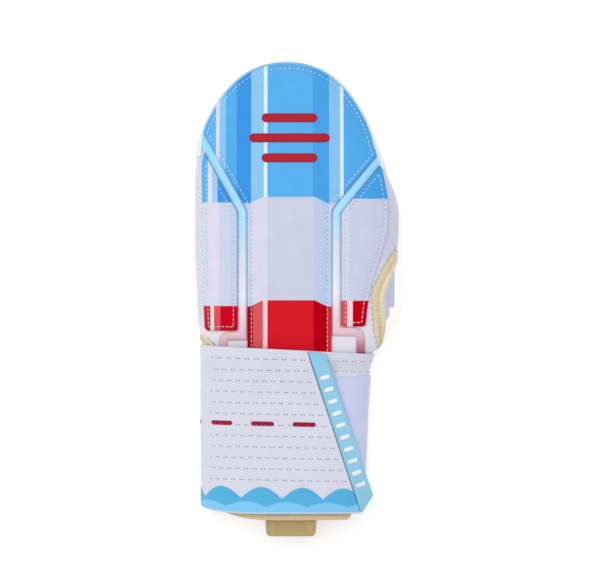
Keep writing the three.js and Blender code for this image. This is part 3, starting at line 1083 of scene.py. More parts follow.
@dataclass(frozen=True)
class WovenElastic(Finish):
    """Woven polyester elastic: matt, with a fine grid of ribs, and a printed border along its lower edge."""

    white: str = "#dee0ee"
    deep_blue: str = "#56b6e6"
    light_blue: str = "#82d0fd"
    crimson: str = "#a0033a"
    rib_pitch: float = 1.4  # drawn coarser than the real 0.6 mm, so that it shows
    wave_pitch: float = 27.0
    wave_mid: float = 13.5
    wave_height: float = 3.6
    low_mid: float = 6.0
    low_height: float = 1.6
    low_lead: float = 1.2  # the lower waves start this much earlier, as an angle
    selvedge: float = 0.9
    soft: float = 0.3  # half width of a printed edge
    dash_pitch: float = 27.0
    dash_length: float = 12.0
    dash_radius: float = 1.5
    dash_soft: float = 0.25
    dash_level: float = 58.0

    def below_waves(
        self, add: AddNode, place: Sequence[Socket], mid: float, height: float, lead: float
    ) -> Socket:
        """Share of the print below a line of waves with rounded crests and narrow troughs.

        Args:
            add: Adds a node to the material.
            place: Coordinates along the strap and up from its foot.
            mid: Middle level of the line, in millimetres.
            height: Half the height of its waves, in millimetres.
            lead: Angle at which the waves start.

        Returns:
            The share, with a soft edge.
        """
        turn = {0: place[0], 1: math.pi / (self.wave_pitch * MM), 2: lead}
        arch = add("Math", {0: add("Math", turn, operation="MULTIPLY_ADD")}, operation="SINE")
        crest = add("Math", {0: arch}, operation="ABSOLUTE")
        line = add("Math", {0: crest, 1: 2 * height * MM, 2: (mid - height) * MM}, operation="MULTIPLY_ADD")
        over = add("Math", {0: line, 1: place[1]}, operation="SUBTRACT")
        return add("MapRange", {"Value": over, "From Min": -self.soft * MM, "From Max": self.soft * MM})

    def dashes(self, add: AddNode, place: Sequence[Socket]) -> Socket:
        """Share of a row of round-ended dashes.

        Args:
            add: Adds a node to the material.
            place: Coordinates along the strap and up from its foot.

        Returns:
            The share, with a soft edge.
        """
        cell = add("Math", {0: place[0], 1: self.dash_pitch * MM}, operation="FLOORED_MODULO")
        off = add("Math", {0: cell, 1: self.dash_pitch / 2 * MM}, operation="SUBTRACT")
        away = add("Math", {0: off}, operation="ABSOLUTE")
        past = add("Math", {0: away, 1: self.dash_length / 2 * MM}, operation="SUBTRACT")
        over = add("Math", {0: past, 1: 0.0}, operation="MAXIMUM")
        up = add("Math", {0: place[1], 1: self.dash_level * MM}, operation="SUBTRACT")
        length = add("VectorMath", {0: add("CombineXYZ", {0: over, 1: up})}, "Value", operation="LENGTH")
        outer, inner = ((self.dash_radius + soft) * MM for soft in (self.dash_soft, -self.dash_soft))
        return add("MapRange", {"Value": length, "From Min": outer, "From Max": inner})

    def surface(self, add: AddNode) -> Inputs:
        """Prints the dashes and the border on the ribbed weave.

        Args:
            add: Adds a node to the material.

        Returns:
            Inputs of the surface shader.
        """
        where = self.cloth_map(add)
        place = add("SeparateXYZ", {0: where}).node.outputs
        layers = (
            (self.dashes(add, place), self.crimson),
            (self.below_waves(add, place, self.wave_mid, self.wave_height, 0.0), self.deep_blue),
            (self.below_waves(add, place, self.low_mid, self.low_height, self.low_lead), self.light_blue),
            (self.below_waves(add, place, self.selvedge, 0.0, 0.0), self.white),
        )
        colour = linear(self.white)
        for share, code in layers:
            colour = add("Mix", {0: share, 6: colour, 7: linear(code)}, 2, data_type="RGBA")
        ribs = self.yarns(add, where, self.rib_pitch)
        ribbed = self.tone(add, colour, ribs, 0.955, 1.03)
        return {
            "Base Color": self.mottle(add, ribbed, where, 12, 0.04, 5),
            "Sheen Weight": 0.25,
            "Normal": self.relief(add, ribs, 0.16),
        }


@dataclass(frozen=True)
class BrushedLoop(Finish):
    """Brushed nylon loop: a soft, cloudy pile that scatters light at its edges."""

    colour: str = "#d0d6f6"
    brushed: str = "#d8def9"
    tuft: float = 1.1
    cloud: float = 8.0

    def surface(self, add: AddNode) -> Inputs:
        """Raises the tufts of the pile.

        Args:
            add: Adds a node to the material.

        Returns:
            Inputs of the surface shader.
        """
        where = self.cloth_map(add)
        tufts = add("TexNoise", {"Vector": where, "Scale": noise_scale(self.tuft), "Detail": 6.0}, "Fac")
        clouds = add("TexNoise", {"Vector": where, "Scale": noise_scale(self.cloud), "Detail": 3.0}, "Fac")
        base = add("Mix", {0: clouds, 6: linear(self.colour), 7: linear(self.brushed)}, 2, data_type="RGBA")
        return {
            "Base Color": self.tone(add, base, tufts, 0.86, 1.1),
            "Sheen Weight": 0.6,
            "Sheen Roughness": 0.4,
            "Normal": self.relief(add, tufts, 0.5),
        }


@dataclass(frozen=True)
class MouldedRubber(Finish):
    """Moulded thermoplastic rubber: satin, with the fine spark texture of its tool and soft colour shifts."""

    fade: Bands = ()  # y and colour of each stop along the hand, in millimetres
    grain: float = 0.7
    grain_depth: float = 0.03
    cloud: float = 7.0
    uneven: float = 0.08  # how far the roughness strays

    def surface(self, add: AddNode) -> Inputs:
        """Colours the rubber along the hand, and gives it its grain.

        Args:
            add: Adds a node to the material.

        Returns:
            Inputs of the surface shader.
        """
        where = self.place(add)
        low, high = self.fade[0][0], self.fade[-1][0]
        along = add("SeparateXYZ", {0: where}, "Y")
        share = add("MapRange", {"Value": along, "From Min": low * MM, "From Max": high * MM})
        stops = tuple(((y - low) / (high - low), code) for y, code in self.fade)
        base = add("ValToRGB", {0: share}, fade=stops)
        grains = add("TexNoise", {"Vector": where, "Scale": noise_scale(self.grain), "Detail": 3.0}, "Fac")
        clouds = add("TexNoise", {"Vector": where, "Scale": noise_scale(self.cloud), "Detail": 3.0}, "Fac")
        least, most = self.roughness - self.uneven, self.roughness + self.uneven
        return {
            "Base Color": self.tone(add, base, clouds, 0.95, 1.05),
            "Roughness": add("MapRange", {"Value": clouds, "To Min": least, "To Max": most}),
            "Normal": self.relief(add, grains, self.grain_depth),
        }


@dataclass(frozen=True)
class KnitTape(Finish):
    """Stretch binding or folded tape: matt ribbed yarn, with ribs across its run."""

    colour: str = "#e3d3b2"
    shade: str = "#c9b48b"
    rib_pitch: float = 1.3
    depth: float = 0.18

    def surface(self, add: AddNode) -> Inputs:
        """Ribs the tape.

        Args:
            add: Adds a node to the material.

        Returns:
            Inputs of the surface shader.
        """
        where = self.cloth_map(add)
        wave = {"Vector": where, "Scale": wave_scale(self.rib_pitch), "Distortion": 0.6, "Detail": 2.0}
        ribs = add("TexWave", wave, "Fac", bands_direction="X")
        base = add("Mix", {0: ribs, 6: linear(self.shade), 7: linear(self.colour)}, 2, data_type="RGBA")
        return {
            "Base Color": self.mottle(add, base, where, 3, 0.08, 5),
            "Sheen Weight": 0.3,
            "Normal": self.relief(add, ribs, self.depth),
        }


@dataclass(frozen=True)
class SpunThread(Finish):
    """Spun polyester thread: matt, with the twist of its plies."""

    colour: str = "#f0eff6"
    twist: float = 0.5

    def surface(self, add: AddNode) -> Inputs:
        """Twists the plies.

        Args:
            add: Adds a node to the material.

        Returns:
            Inputs of the surface shader.
        """
        turned = add("Mapping", {"Vector": self.place(add), "Rotation": (0.6, 0.5, 0.8)})
        plies = add("TexWave", {"Vector": turned, "Scale": wave_scale(self.twist)}, "Fac")
        return {
            "Base Color": self.tone(add, linear(self.colour), plies, 0.88, 1.05),
            "Normal": self.relief(add, plies, 0.08),
        }


@dataclass(frozen=True)
class CoatedCanvas(Finish):
    """Canvas with a polyurethane coat over a stiff plate: low sheen, with a fine pebbled grain, and a painted
    glow that lifts it in the mitt's shade.
    """

    colour: str = "#d8def9"
    clouded: str = "#d4d9f4"
    pebble: float = 1.2
    cloud: float = 15.0
    painted_glow: float = 0.2  # painted light: strength of a glow that lifts the plate where the mitt shades it

    def surface(self, add: AddNode) -> Inputs:
        """Pebbles the coat, and makes it glow with painted light.

        Args:
            add: Adds a node to the material.

        Returns:
            Inputs of the surface shader.
        """
        where = self.place(add)
        pebbles = add("TexVoronoi", {"Vector": where, "Scale": noise_scale(self.pebble)}, "Distance")
        clouds = add("TexNoise", {"Vector": where, "Scale": noise_scale(self.cloud), "Detail": 4.0}, "Fac")
        base = add("Mix", {0: clouds, 6: linear(self.colour), 7: linear(self.clouded)}, 2, data_type="RGBA")
        toned = self.tone(add, base, pebbles, 1.03, 0.95)
        return {
            "Base Color": toned,
            # painted light: the coat glows in its own colour, lifting it out of the mitt's shade
            "Emission Color": toned,
            "Emission Strength": self.painted_glow,
            "Normal": self.relief(add, pebbles, -0.12),
        }


@dataclass(frozen=True)
class SeamlessPaper(Finish):
    """Seamless white paper, lit from below as well: matt, with faint clouds of fibre."""

    colour: str = "#f6f6f7"
    clouded: str = "#fafafa"
    cloud: float = 40.0
    glow: float = 0.3

    def surface(self, add: AddNode) -> Inputs:
        """Clouds the paper.

        Args:
            add: Adds a node to the material.

        Returns:
            Inputs of the surface shader.
        """
        clouds = add("TexNoise", {"Vector": self.place(add), "Scale": noise_scale(self.cloud)}, "Fac")
        base = add("Mix", {0: clouds, 6: linear(self.colour), 7: linear(self.clouded)}, 2, data_type="RGBA")
        return {"Base Color": base, "Emission Color": (1, 1, 1, 1), "Emission Strength": self.glow}


# Sub-assemblies


@dataclass
class HandPouch:
    """The padded, hollow pouch of spacer knit, from the fingertips to the cuff."""

    form: MittForm
    openings: Sequence["BoundOpening"]
    columns: int = 168
    row_step: float = 4.0
    dome_steps: int = 30
    girth_y: float = 20.0
    wrinkle: float = 0.5
    bulge: float = 1.8  # the free knit stands out beside the thumb panel
    bulge_y: float = 62.0
    bulge_half: float = 13.0

    def rows(self) -> list[tuple[float, float]]:
        """Lines round the pouch from the inner tip to the mouth and back to the outer tip: y and offset.

        Returns:
            The lines.
        """
        form = self.form

        def side(grow: float) -> list[tuple[float, float]]:
            """Lines from the mouth to the tip."""
            count = round((form.dome_y - form.mouth_y) / self.row_step)
            straight = [(lerp(form.mouth_y, form.dome_y, i / count), grow) for i in range(count)]
            length = form.tip_y + grow - form.dome_y
            angles = [TURN / 4 * i / self.dome_steps for i in range(self.dome_steps + 1)]
            return straight + [(form.dome_y + length * math.sin(angle), grow) for angle in angles]

        lip = (form.mouth_y - 0.4, -form.wall / 2)
        return [*reversed(side(-form.wall)), lip, *side(0.0)]

    def softness(self, angle: float, y: float) -> float:
        """Soft folds of the free knit at the sides.

        Args:
            angle: Angle round the pouch.
            y: Place along the hand.

        Returns:
            How far the knit stands out.
        """
        across = math.sin(angle)
        free = smoothstep(abs(across), 0.9, 0.985) * smoothstep(y, -24, -10) * smoothstep(-y, -86, -70)
        fold = noise.noise(Vector((y / 13, math.cos(angle) * 2.2, across)))
        full = smoothstep(across, 0.86, 1.0) * groove(y, self.bulge_y, self.bulge_half)
        return self.wrinkle * free * fold + self.bulge * full

    def build(self, finish: Material) -> Piece:
        """Makes the pouch with its two openings.

        Args:
            finish: Its material.

        Returns:
            The pouch.
        """
        form = self.form
        section = form.section(self.girth_y)
        angles, lengths = form.girth(lambda angle: form.rim(section, angle), 0.0, TURN)
        marks = [lengths[-1] * i / self.columns for i in range(self.columns + 1)]
        rows = self.rows()

        def place(flat: Vector) -> Vector:
            """Point of the wall from its place round the pouch and its line's number."""
            angle = float(np.interp(flat.x, lengths, angles))
            y, grow = rows[round(flat.y)]
            return form.rim(form.section(y, grow + (self.softness(angle, y) if grow == 0 else 0)), angle)

        pattern = Pattern.from_grid(marks, range(len(rows)))
        pattern.keep_map(lambda flat: (flat.x, rows[round(flat.y)][0]))
        piece = pattern.wrap(place, merge=0.01).finish("hand_pouch", finish)
        for opening in self.openings:
            opening.cut_from(piece)
        return dress(piece, Slot.KNIT, ["pouch"])


@dataclass
class BoundOpening:
    """An opening in the side of the pouch, with a rolled binding and an overlocked edge.

    In the plan its edge is a smooth bend, nearest to the middle of the hand at one place.
    """

    form: MittForm
    name: str
    node: str
    near_x: float
    near_y: float
    lean: float  # how far the edge runs out for each millimetre along the hand, past the bend
    lean_below: float  # the same on the wrist side of the bend
    bend: float
    mid_y: float
    width: float
    thickness: float
    sink: float = 0.0
    roll_from: float = -200.0  # below this the overlock covers the roll too
    thin_from: float = -200.0  # and the binding narrows to its lower end from thin_from to thin_to
    thin_to: float = -190.0
    thin: float = 0.45
    mid_z: float = 18.0
    band_middle: float = 0.46  # the flat band beside the roll, in shares of the half width
    band_half: float = 0.54
    band_height: float = 0.58  # and of the roll's half thickness
    thread_pitch: float = 2.0
    thread_radius: float = 0.55
    slant: float = 0.42  # share of the pitch by which a thread leans each way
    stray: float = 0.6  # unevenness of the overlock
    lock_to: float = 0.96  # the overlock runs from here to the roll, in shares of the half width
    lock_from: float = 0.04
    lock_over: float = -0.8  # or this far where it covers the roll
    hole_pitch: float = 3.7
    hole_inset: float = 1.3
    sides: int = 32
    far: float = 60.0  # the cutter reaches this far up and down
    past: float = 14.0  # and this far out
    reach: float = 60.0
    samples: int = 240
    line: Trail = field(init=False)  # the edge, once round
    marks: np.ndarray = field(init=False)  # distances along it
    faces: np.ndarray = field(init=False)  # directions out of the wall at these

    def __post_init__(self) -> None:
        """Follows the edge once round, from its upper end over the back, with the wall's face along it."""
        self.line = Trail([self.edge(TURN * i / self.samples) for i in range(self.samples)], closed=True)
        self.marks = np.linspace(0, self.line.length, self.samples, endpoint=False)
        self.faces = np.array([self.form.outward(self.line.at(mark), self.depth) for mark in self.marks])
        for _ in range(6):
            sides = np.roll(self.faces, 1, axis=0) + np.roll(self.faces, -1, axis=0)
            self.faces = (sides + 2 * self.faces) / 4

    @property
    def outward(self) -> float:
        """Sign of the side that the opening is on."""
        return math.copysign(1.0, self.near_x)

    def edge_x(self, y: float) -> float:
        """Middle of the binding in the plan at y."""
        lean = self.lean if y > self.near_y else self.lean_below
        return self.near_x + self.outward * lean * (math.hypot(y - self.near_y, self.bend) - self.bend)

    @property
    def depth(self) -> float:
        """How far the middle of the wall lies outside the pouch's face."""
        return -self.form.wall / 2 - self.sink

    def edge(self, angle: float) -> Vector:
        """Point of the opening's edge, in the middle of the wall, at an angle round the opening.

        Args:
            angle: The angle.

        Returns:
            The point.
        """

        def at(reach: float) -> Vector:
            """Point on the way out from the opening's middle."""
            y = self.mid_y + reach * math.cos(angle)
            return Vector((self.edge_x(y), y, self.mid_z + reach * math.sin(angle)))

        return at(last_inside(lambda reach: self.form.inside(at(reach), self.depth), self.reach))

    def axes(self, mark: float) -> tuple[Vector, Vector, Vector]:
        """Point of the edge, direction into the wall and direction out of the mitt.

        Args:
            mark: Distance along the edge.

        Returns:
            The three.
        """
        out = Vector([float(np.interp(mark, self.marks, c, period=self.line.length)) for c in self.faces.T])
        way = self.line.heading(mark, 1.2)
        into = way.cross(out).normalized() * self.outward
        return self.line.at(mark), into, (into.cross(way) * self.outward).normalized()

    def cut_from(self, pouch: Piece) -> None:
        """Cuts the opening out of the pouch, along the inner edge of its binding.

        Args:
            pouch: The pouch.
        """
        edge = []
        for mark in self.marks:
            here, into, _ = self.axes(mark)
            if here.z > self.mid_z or not edge:
                spot = here + into * (self.half_at(here.y) + self.form.gap)
                edge.append(Vector((spot.x, spot.y, -self.far)))
        outer = [point + Vector((self.outward * self.past, 0, 0)) for point in (edge[-1], edge[0])]
        mesh = bmesh.new()
        mesh.faces.new([mesh.verts.new(point * MM) for point in (*edge, *outer)])
        made = bmesh.ops.extrude_face_region(mesh, geom=mesh.faces[:], use_keep_orig=True)
        lifted = [item for item in made["geom"] if isinstance(item, bmesh.types.BMVert)]
        bmesh.ops.translate(mesh, vec=(0, 0, 2 * self.far * MM), verts=lifted)
        bmesh.ops.recalc_face_normals(mesh, faces=mesh.faces[:])
        cutter = to_object("opening", mesh)
        cut = pouch.modifiers.new("opening", "BOOLEAN")
        cut.object = cutter
        cut.operation = "DIFFERENCE"
        cut.solver = "EXACT"
        result = bpy.data.meshes.new_from_object(pouch.evaluated_get(bpy.context.evaluated_depsgraph_get()))
        pouch.modifiers.clear()
        pouch.data = result
        bpy.data.objects.remove(cutter)
        for face in result.polygons:
            face.use_smooth = True

    def half_at(self, y: float) -> float:
        """Half width of the binding at y."""
        return self.width / 2 * lerp(self.thin, 1.0, smoothstep(y, self.thin_from, self.thin_to))

    def lobes(self, across: float, half: float) -> float:
        """Half thickness of the binding: a round roll at the opening and a flatter, overlocked band.

        Args:
            across: Distance into the wall from the binding's middle.
            half: Half width of the binding.

        Returns:
            The half thickness.
        """
        roll = self.thickness / 2 * half / (self.width / 2)
        beside = max(roll**2 - (across + half - roll) ** 2, 0.0)
        band = max(1 - ((across - self.band_middle * half) / (self.band_half * half)) ** 2, 0.0)
        return max(math.sqrt(beside), self.band_height * roll * math.sqrt(band))

    def build(self, tape: Material, thread: Material, holes: "Sewing") -> list[Piece]:
        """Makes the binding and its overlock stitches.

        Args:
            tape: Material of the binding.
            thread: Material of the stitches.
            holes: Takes the needle holes along the binding, dark strands of painted shade.

        Returns:
            The binding and its stitches.
        """
        line, axes = self.line, self.axes

        def surface(mark: float, share: float, lift: float) -> Vector:
            """Point on the binding's outer face, at a share of its half width into the wall."""
            here, into, out = axes(mark)
            half = self.half_at(here.y)
            return here + into * (share * half) + out * (self.lobes(share * half, half) + lift)

        def place(flat: Vector) -> Vector:
            """Point of the binding from its place round the section and along the edge."""
            here, into, out = axes(flat.y)
            half = self.half_at(here.y)
            across = half * math.cos(flat.x)
            return here + into * across + out * math.copysign(self.lobes(across, half), math.sin(flat.x))

        steps = round(line.length)
        section = [TURN * i / self.sides for i in range(self.sides + 1)]
        pattern = Pattern.from_grid(section, [line.length * i / steps for i in range(steps + 1)])
        pattern.keep_map(lambda flat: (flat.y, flat.x * self.width / 4))
        ring = pattern.wrap(place, merge=0.005).finish(f"{self.name}_edge", tape)
        sewing = Sewing(radius=self.thread_radius)
        marks = line.stations(self.thread_pitch)
        step = line.length / len(marks)
        for mark in marks:
            here, _, out = axes(mark)
            bare = smoothstep(here.y, self.roll_from - 3, self.roll_from + 3)
            near = lerp(self.lock_over, self.lock_from, bare)
            shares = [lerp(near, self.lock_to, k / 3) for k in range(4)]
            for k in range(3):
                stray = self.stray * noise.noise(Vector((mark * 1.7, k * 3.1, 0.4)))
                lean = step * (self.slant if k % 2 else -self.slant)
                leads = (stray + lean, stray - lean)
                ends = [surface(mark + lead, shares[k + i], 0.12) for i, lead in enumerate(leads)]
                sewing.stitch(*ends, out)
            sewing.stitch(surface(mark - step / 2, near, 0.18), surface(mark + step / 2, near, 0.18), out)
        # painted shade: a dark strand at each needle hole beside the binding
        for mark in line.stations(self.hole_pitch):
            here, into, _ = axes(mark)
            spot = here + into * (self.half_at(here.y) + self.hole_inset)
            if here.z < self.form.mid_level + 4:
                continue
            way = line.heading(mark) * 0.4
            out = self.form.back_normal(spot.x, spot.y, 0.0)
            ends = [self.form.on_back(p.x, p.y, -0.05) for p in (spot - way, spot + way)]
            holes.stitch(*ends, out)
        threads = sewing.finish(f"{self.name}_overlock", thread)
        return [dress(ring, Slot.BINDING, [self.node]), threads]


@dataclass
class BackPanels:
    """The three printed panels on the back, the two flex strips between them and their stitches."""

    form: MittForm
    strap: "WristStrap"
    channel_width: float = 5.7
    little_foot: float = -20.7
    thumb_foot: float = -18.0
    little_channel: tuple[Corner, ...] = (
        Corner(-62.6, 106),
        Corner(-34.9, 56.5, 2.5),
        Corner(-34.9, -24),
        Corner(-47.5, -24.2, 4),
        Corner(-47.5, -35.5),
    )
    thumb_channel: tuple[Corner, ...] = (
        Corner(60.6, 98.5),
        Corner(25.8, 56.5, 2.5),
        Corner(25.8, -21.3),
        Corner(41.6, -21.6, 4),
        Corner(41.8, -38.4),
    )
    little_edge: tuple[Corner, ...] = (
        Corner(-61.4, 88.5, 1.5),
        Corner(-60.6, 15, 20),
        Corner(-59.6, -20.7, 3.5),
    )
    thumb_edge: tuple[Corner, ...] = (
        Corner(56, 82.5, 1.5),
        Corner(62.2, 50, 20),
        Corner(46.6, 3, 14),
        Corner(44.7, -18.0, 2.5),
    )
    edge_roll: float = 1.1
    crown: float = 0.4
    seam_inset: float = 2.7
    seam_depth: float = 0.55
    stitch_pitch: float = 2.9
    stitch_length: float = 1.8
    hole_half: float = 0.38
    pucker: float = 0.16  # soft unevenness of the padded face
    seat: float = 0.05  # a panel's underside stands this far off the pouch
    strip_height: float = 1.0
    strip_dome: float = 0.35

    def channel(self, side: Side) -> list[Vector]:
        """Middle line of a flex channel, from the tip rim to under the strap."""
        corners = self.little_channel if side is Side.LITTLE_FINGER else self.thumb_channel
        return rounded_path(corners, closed=False, steps=8)

    def foot(self, side: Side) -> float:
        """Lower edge of a side panel."""
        return self.little_foot if side is Side.LITTLE_FINGER else self.thumb_foot

    def beside(self, side: Side, outward: bool) -> list[Vector]:
        """Edge of a panel beside a channel, above the foot of the side panels.

        Args:
            side: Side of the hand.
            outward: Whether the panel lies outside the channel.

        Returns:
            The edge, from the tip to the wrist.
        """
        reach = self.channel_width / 2 + self.form.gap
        sign = side.value if outward else -side.value
        return [p for p in offset_path(self.channel(side), sign * reach) if p.y > self.foot(side)]

    def crossing(self, start: Vector, end: Vector) -> Vector:
        """Where a line from the inside meets the panels' outer limit."""
        return start.lerp(end, last_inside(lambda share: self.form.in_limit(start.lerp(end, share)), 1.0))

    def centre_outline(self) -> list[Vector]:
        """Outline of the centre panel: a dome over a narrow shank.

        Returns:
            The outline.
        """
        left = self.beside(Side.LITTLE_FINGER, outward=False)
        right = self.beside(Side.THUMB, outward=False)
        left_end = self.crossing(left[1], left[0])
        right_end = self.crossing(right[1], right[0])
        form = self.form
        dome, back = (
            [Vector((form.panel_limit(y, side), y)) for y in form.dome_levels(end.y, form.tip_inset, 70)]
            for side, end in ((Side.THUMB, right_end), (Side.LITTLE_FINGER, left_end))
        )
        feet = [Vector((p.x, self.strap.top(p.x) - self.strap.tuck)) for p in (left[-1], right[-1])]
        return [*left[1:], *feet, *reversed(right[1:]), *dome, *reversed(back[:-1])]

    def side_outline(self, side: Side) -> list[Vector]:
        """Outline of a side panel.

        Args:
            side: Side of the hand.

        Returns:
            The outline.
        """
        edge = self.little_edge if side is Side.LITTLE_FINGER else self.thumb_edge
        top, *inner = self.beside(side, outward=True)
        tip_x = edge[0].x - side.value * edge[0].r
        tip_y = lerp(inner[0].y, top.y, (tip_x - inner[0].x) / (top.x - inner[0].x))
        corners = [
            *edge,
            Corner(inner[-1].x, self.foot(side), 1.5),
            *(Corner(p.x, p.y) for p in reversed(inner)),
            Corner(tip_x, tip_y),
        ]
        points = rounded_path(corners, closed=True, steps=10)
        for point in points:
            edge_x = self.form.panel_limit(point.y, side)
            point.x = min(point.x, edge_x) if side is Side.THUMB else max(point.x, edge_x)
        return points

    def relief(self, distance: float, flat: Vector) -> float:
        """Height of a panel's face: rolled edge, sewn groove, soft crown and puckers near the seam.

        Args:
            distance: Distance from the panel's edge.
            flat: Place in the plan.

        Returns:
            The height.
        """
        sewn = self.seam_depth * groove(distance, self.seam_inset, 0.8)
        crown = self.crown * smoothstep(distance, 3, 14)
        near_seam = groove(distance, self.seam_inset + 1.6, 3.2)
        pucker = self.pucker * near_seam * noise.noise(Vector((flat.x / 4.5, flat.y / 4.5, 1.7)))
        cloud = noise.noise(Vector((flat.x / 17, flat.y / 23, 5.1)))
        swell = self.pucker * smoothstep(distance, 5, 16) * cloud
        return self.form.panel - rolled(distance, self.edge_roll) - sewn + crown + pucker + swell

    def panel(self, name: str, node: str, outline: Line, finish: Material) -> Piece:
        """Makes one panel.

        Args:
            name: Name of the piece.
            node: Solid that it stands for.
            outline: Its outline in the plan.
            finish: Its printed material.

        Returns:
            The panel.
        """
        pattern = Pattern.from_outline(outline).cut_grid(1.5).refine_edge(5.0)
        pattern.raise_face(self.relief).close_below(self.seat - self.form.gap).keep_map()
        pattern.wrap(lambda flat: self.form.on_back(flat.x, flat.y, self.form.gap + flat.z))
        piece = dress(pattern.finish(name, finish), Slot.PRINT, [node])
        return piece

    def sew(self, outline: Line, thread: Sewing, holes: Sewing) -> None:
        """Sews a panel down along its edge.

        Args:
            outline: The panel's outline.
            thread: Takes the stitches.
            holes: Takes the needle holes, dark strands of painted shade.
        """
        line = inset_trail(turned_left(outline), self.seam_inset)
        grow = self.form.gap + self.form.panel - self.seam_depth
        marks = line.stations(self.stitch_pitch)
        for mark in marks:
            here = line.at(mark)
            if here.y < self.strap.top(here.x) + 0.5:
                continue
            way = line.heading(mark) * (self.stitch_length / 2)
            out = self.form.back_normal(here.x, here.y, grow)
            ends = [self.form.on_back(p.x, p.y, grow + 0.12) for p in (here - way, here + way)]
            thread.stitch(*ends, out)
            # painted shade: a dark strand in each gap between stitches, where the needle hole is
            between = mark + line.length / len(marks) / 2
            gap, way = line.at(between), line.heading(between) * self.hole_half
            pit = [self.form.on_back(p.x, p.y, grow - 0.08) for p in (gap - way, gap + way)]
            holes.stitch(*pit, out)

    def strip(self, name: str, node: str, side: Side, finish: Material) -> Piece:
        """Makes the moulded strip in a flex channel.

        Args:
            name: Name of the piece.
            node: Solid that it stands for.
            side: Side of the hand.
            finish: Its material.

        Returns:
            The strip.
        """
        half = self.channel_width / 2
        sides = []
        for distance in (half, -half):
            line = offset_path(self.channel(side), distance)
            sides.append([self.crossing(line[1], line[0]), *line[1:]])
        outline = [*sides[0], *reversed(sides[1])]

        def relief(distance: float, _: Vector) -> float:
            """Height of the strip's face: rolled edge and a soft dome."""
            dome = self.strip_dome * (1 - (1 - min(distance / half, 1.0)) ** 2)
            return self.strip_height - 0.15 - rolled(distance, 0.5) + dome

        pattern = Pattern.from_outline(outline, (0.12, 0.2, 0.3)).cut_grid(1.2)
        pattern.raise_face(relief).close_below(self.seat - self.form.gap).keep_map()
        pattern.wrap(lambda flat: self.form.on_back(flat.x, flat.y, self.form.gap + flat.z))
        return dress(pattern.finish(name, finish), Slot.CHANNEL, [node])


@dataclass
class EmblemBars:
    """Three plain raised bars on the fingertip dome."""

    form: MittForm
    x: float = -4.5
    radius: float = 2.9
    height: float = 0.95
    bars: tuple[tuple[float, float], ...] = ((117, 15), (104, 23), (91, 15))  # y and half length of each
    edge_roll: float = 0.55
    dish: float = 0.25

    def relief(self, distance: float, _: Vector) -> float:
        """Height of a bar's face: rolled edge and a shallow dish."""
        return self.height - rolled(distance, self.edge_roll) - self.dish * smoothstep(distance, 0.8, 2.4)

    def build(self, base: float, finish: Material) -> list[Piece]:
        """Makes the bars on a face that stands at base off the pouch.

        Args:
            base: Height of the face off the pouch.
            finish: Their material.

        Returns:
            The bars.
        """
        pieces = []
        for number, (y, half) in enumerate(self.bars, 1):
            turns = [(math.cos(TURN * i / 48), math.sin(TURN * i / 48)) for i in range(48)]
            ends = [(self.x + math.copysign(half, across), across, along) for across, along in turns]
            outline = [Vector((x + self.radius * c, y + self.radius * s)) for x, c, s in ends]
            pattern = Pattern.from_outline(outline, (0.1, 0.2, 0.3, 0.4)).cut_grid(1.4)
            pattern.raise_face(self.relief)
            pattern.close_below().keep_map()
            pattern.wrap(lambda flat: self.form.on_back(flat.x, flat.y, base + flat.z))
            bar = pattern.finish(f"emblem_pill_{number}", finish)
            pieces.append(dress(bar, Slot.EMBLEM, [f"emblem_bar_{number}"]))
        return pieces


@dataclass
class TipRim:
    """The moulded rubber rim round the fingertips."""

    form: MittForm
    left_end: float = 92.6
    right_end: float = 84.8
    thickness: float = 1.6
    end_thickness: float = 1.2  # it thins to its ends
    thin_from: float = 88.0
    thin_to: float = 122.0
    foot: float = 4.8
    inward: float = 14.0
    height: float = 24.0  # about, for the rolled edges and the pattern
    half_rows: tuple[float, ...] = (0, 0.01, 0.03, 0.06, 0.12, 0.2, 0.3, 0.4)  # shares of the height

    def build(self, finish: Material) -> Piece:
        """Makes the rim.

        Args:
            finish: Its material.

        Returns:
            The rim.
        """
        form = self.form
        left, right = (
            [Vector((form.outline_x(y, side, 0.0, 0.0), y)) for y in form.dome_levels(end, 0.0, 240)]
            for side, end in ((Side.LITTLE_FINGER, self.left_end), (Side.THUMB, self.right_end))
        )
        line = Trail([*left, *reversed(right[:-1])])

        def relief(along: float, up: float) -> float:
            """Height of the rim's face: rolled edges and ends."""
            edge = min(up, 1 - up) * self.height
            end = min(along, line.length - along)
            full = smoothstep(line.at(along).y, self.thin_from, self.thin_to)
            thick = lerp(self.end_thickness, self.thickness, full)
            return thick - rolled(edge, 0.8) * thick / self.thickness - rolled(end, 0.4)

        def place(flat: Vector) -> Vector:
            """Point of the rim from its place along the outline and up its side."""
            here = line.at(flat.x)
            way = line.heading(flat.x, 0.8)
            out = Vector((-way.y, way.x, 0))
            grow = form.gap + flat.z
            level = lerp(self.foot, form.rim_level(here.y), flat.y)
            start = Vector((here.x, here.y, level)) - out * self.inward
            reach = last_inside(lambda d: form.inside(start + out * d, grow), 2 * self.inward)
            return start + out * reach

        count = round(line.length / 1.6)
        ends = (0.15, 0.4, 0.8)
        middle = [line.length * i / count for i in range(1, count)]
        columns = [0, *ends, *middle, *(line.length - e for e in reversed(ends)), line.length]
        rows = [*self.half_rows, 0.5, *(1 - share for share in reversed(self.half_rows))]
        pattern = Pattern.from_grid(columns, rows)
        for vert in pattern.mesh.verts:
            vert.co.z = relief(vert.co.x, vert.co.y)
        pattern.close_below(-form.gap / 2).keep_map(lambda flat: (flat.x, flat.y * self.height))
        return dress(pattern.wrap(place).finish("tip_rim", finish), Slot.RIM, ["tip_bumper"])


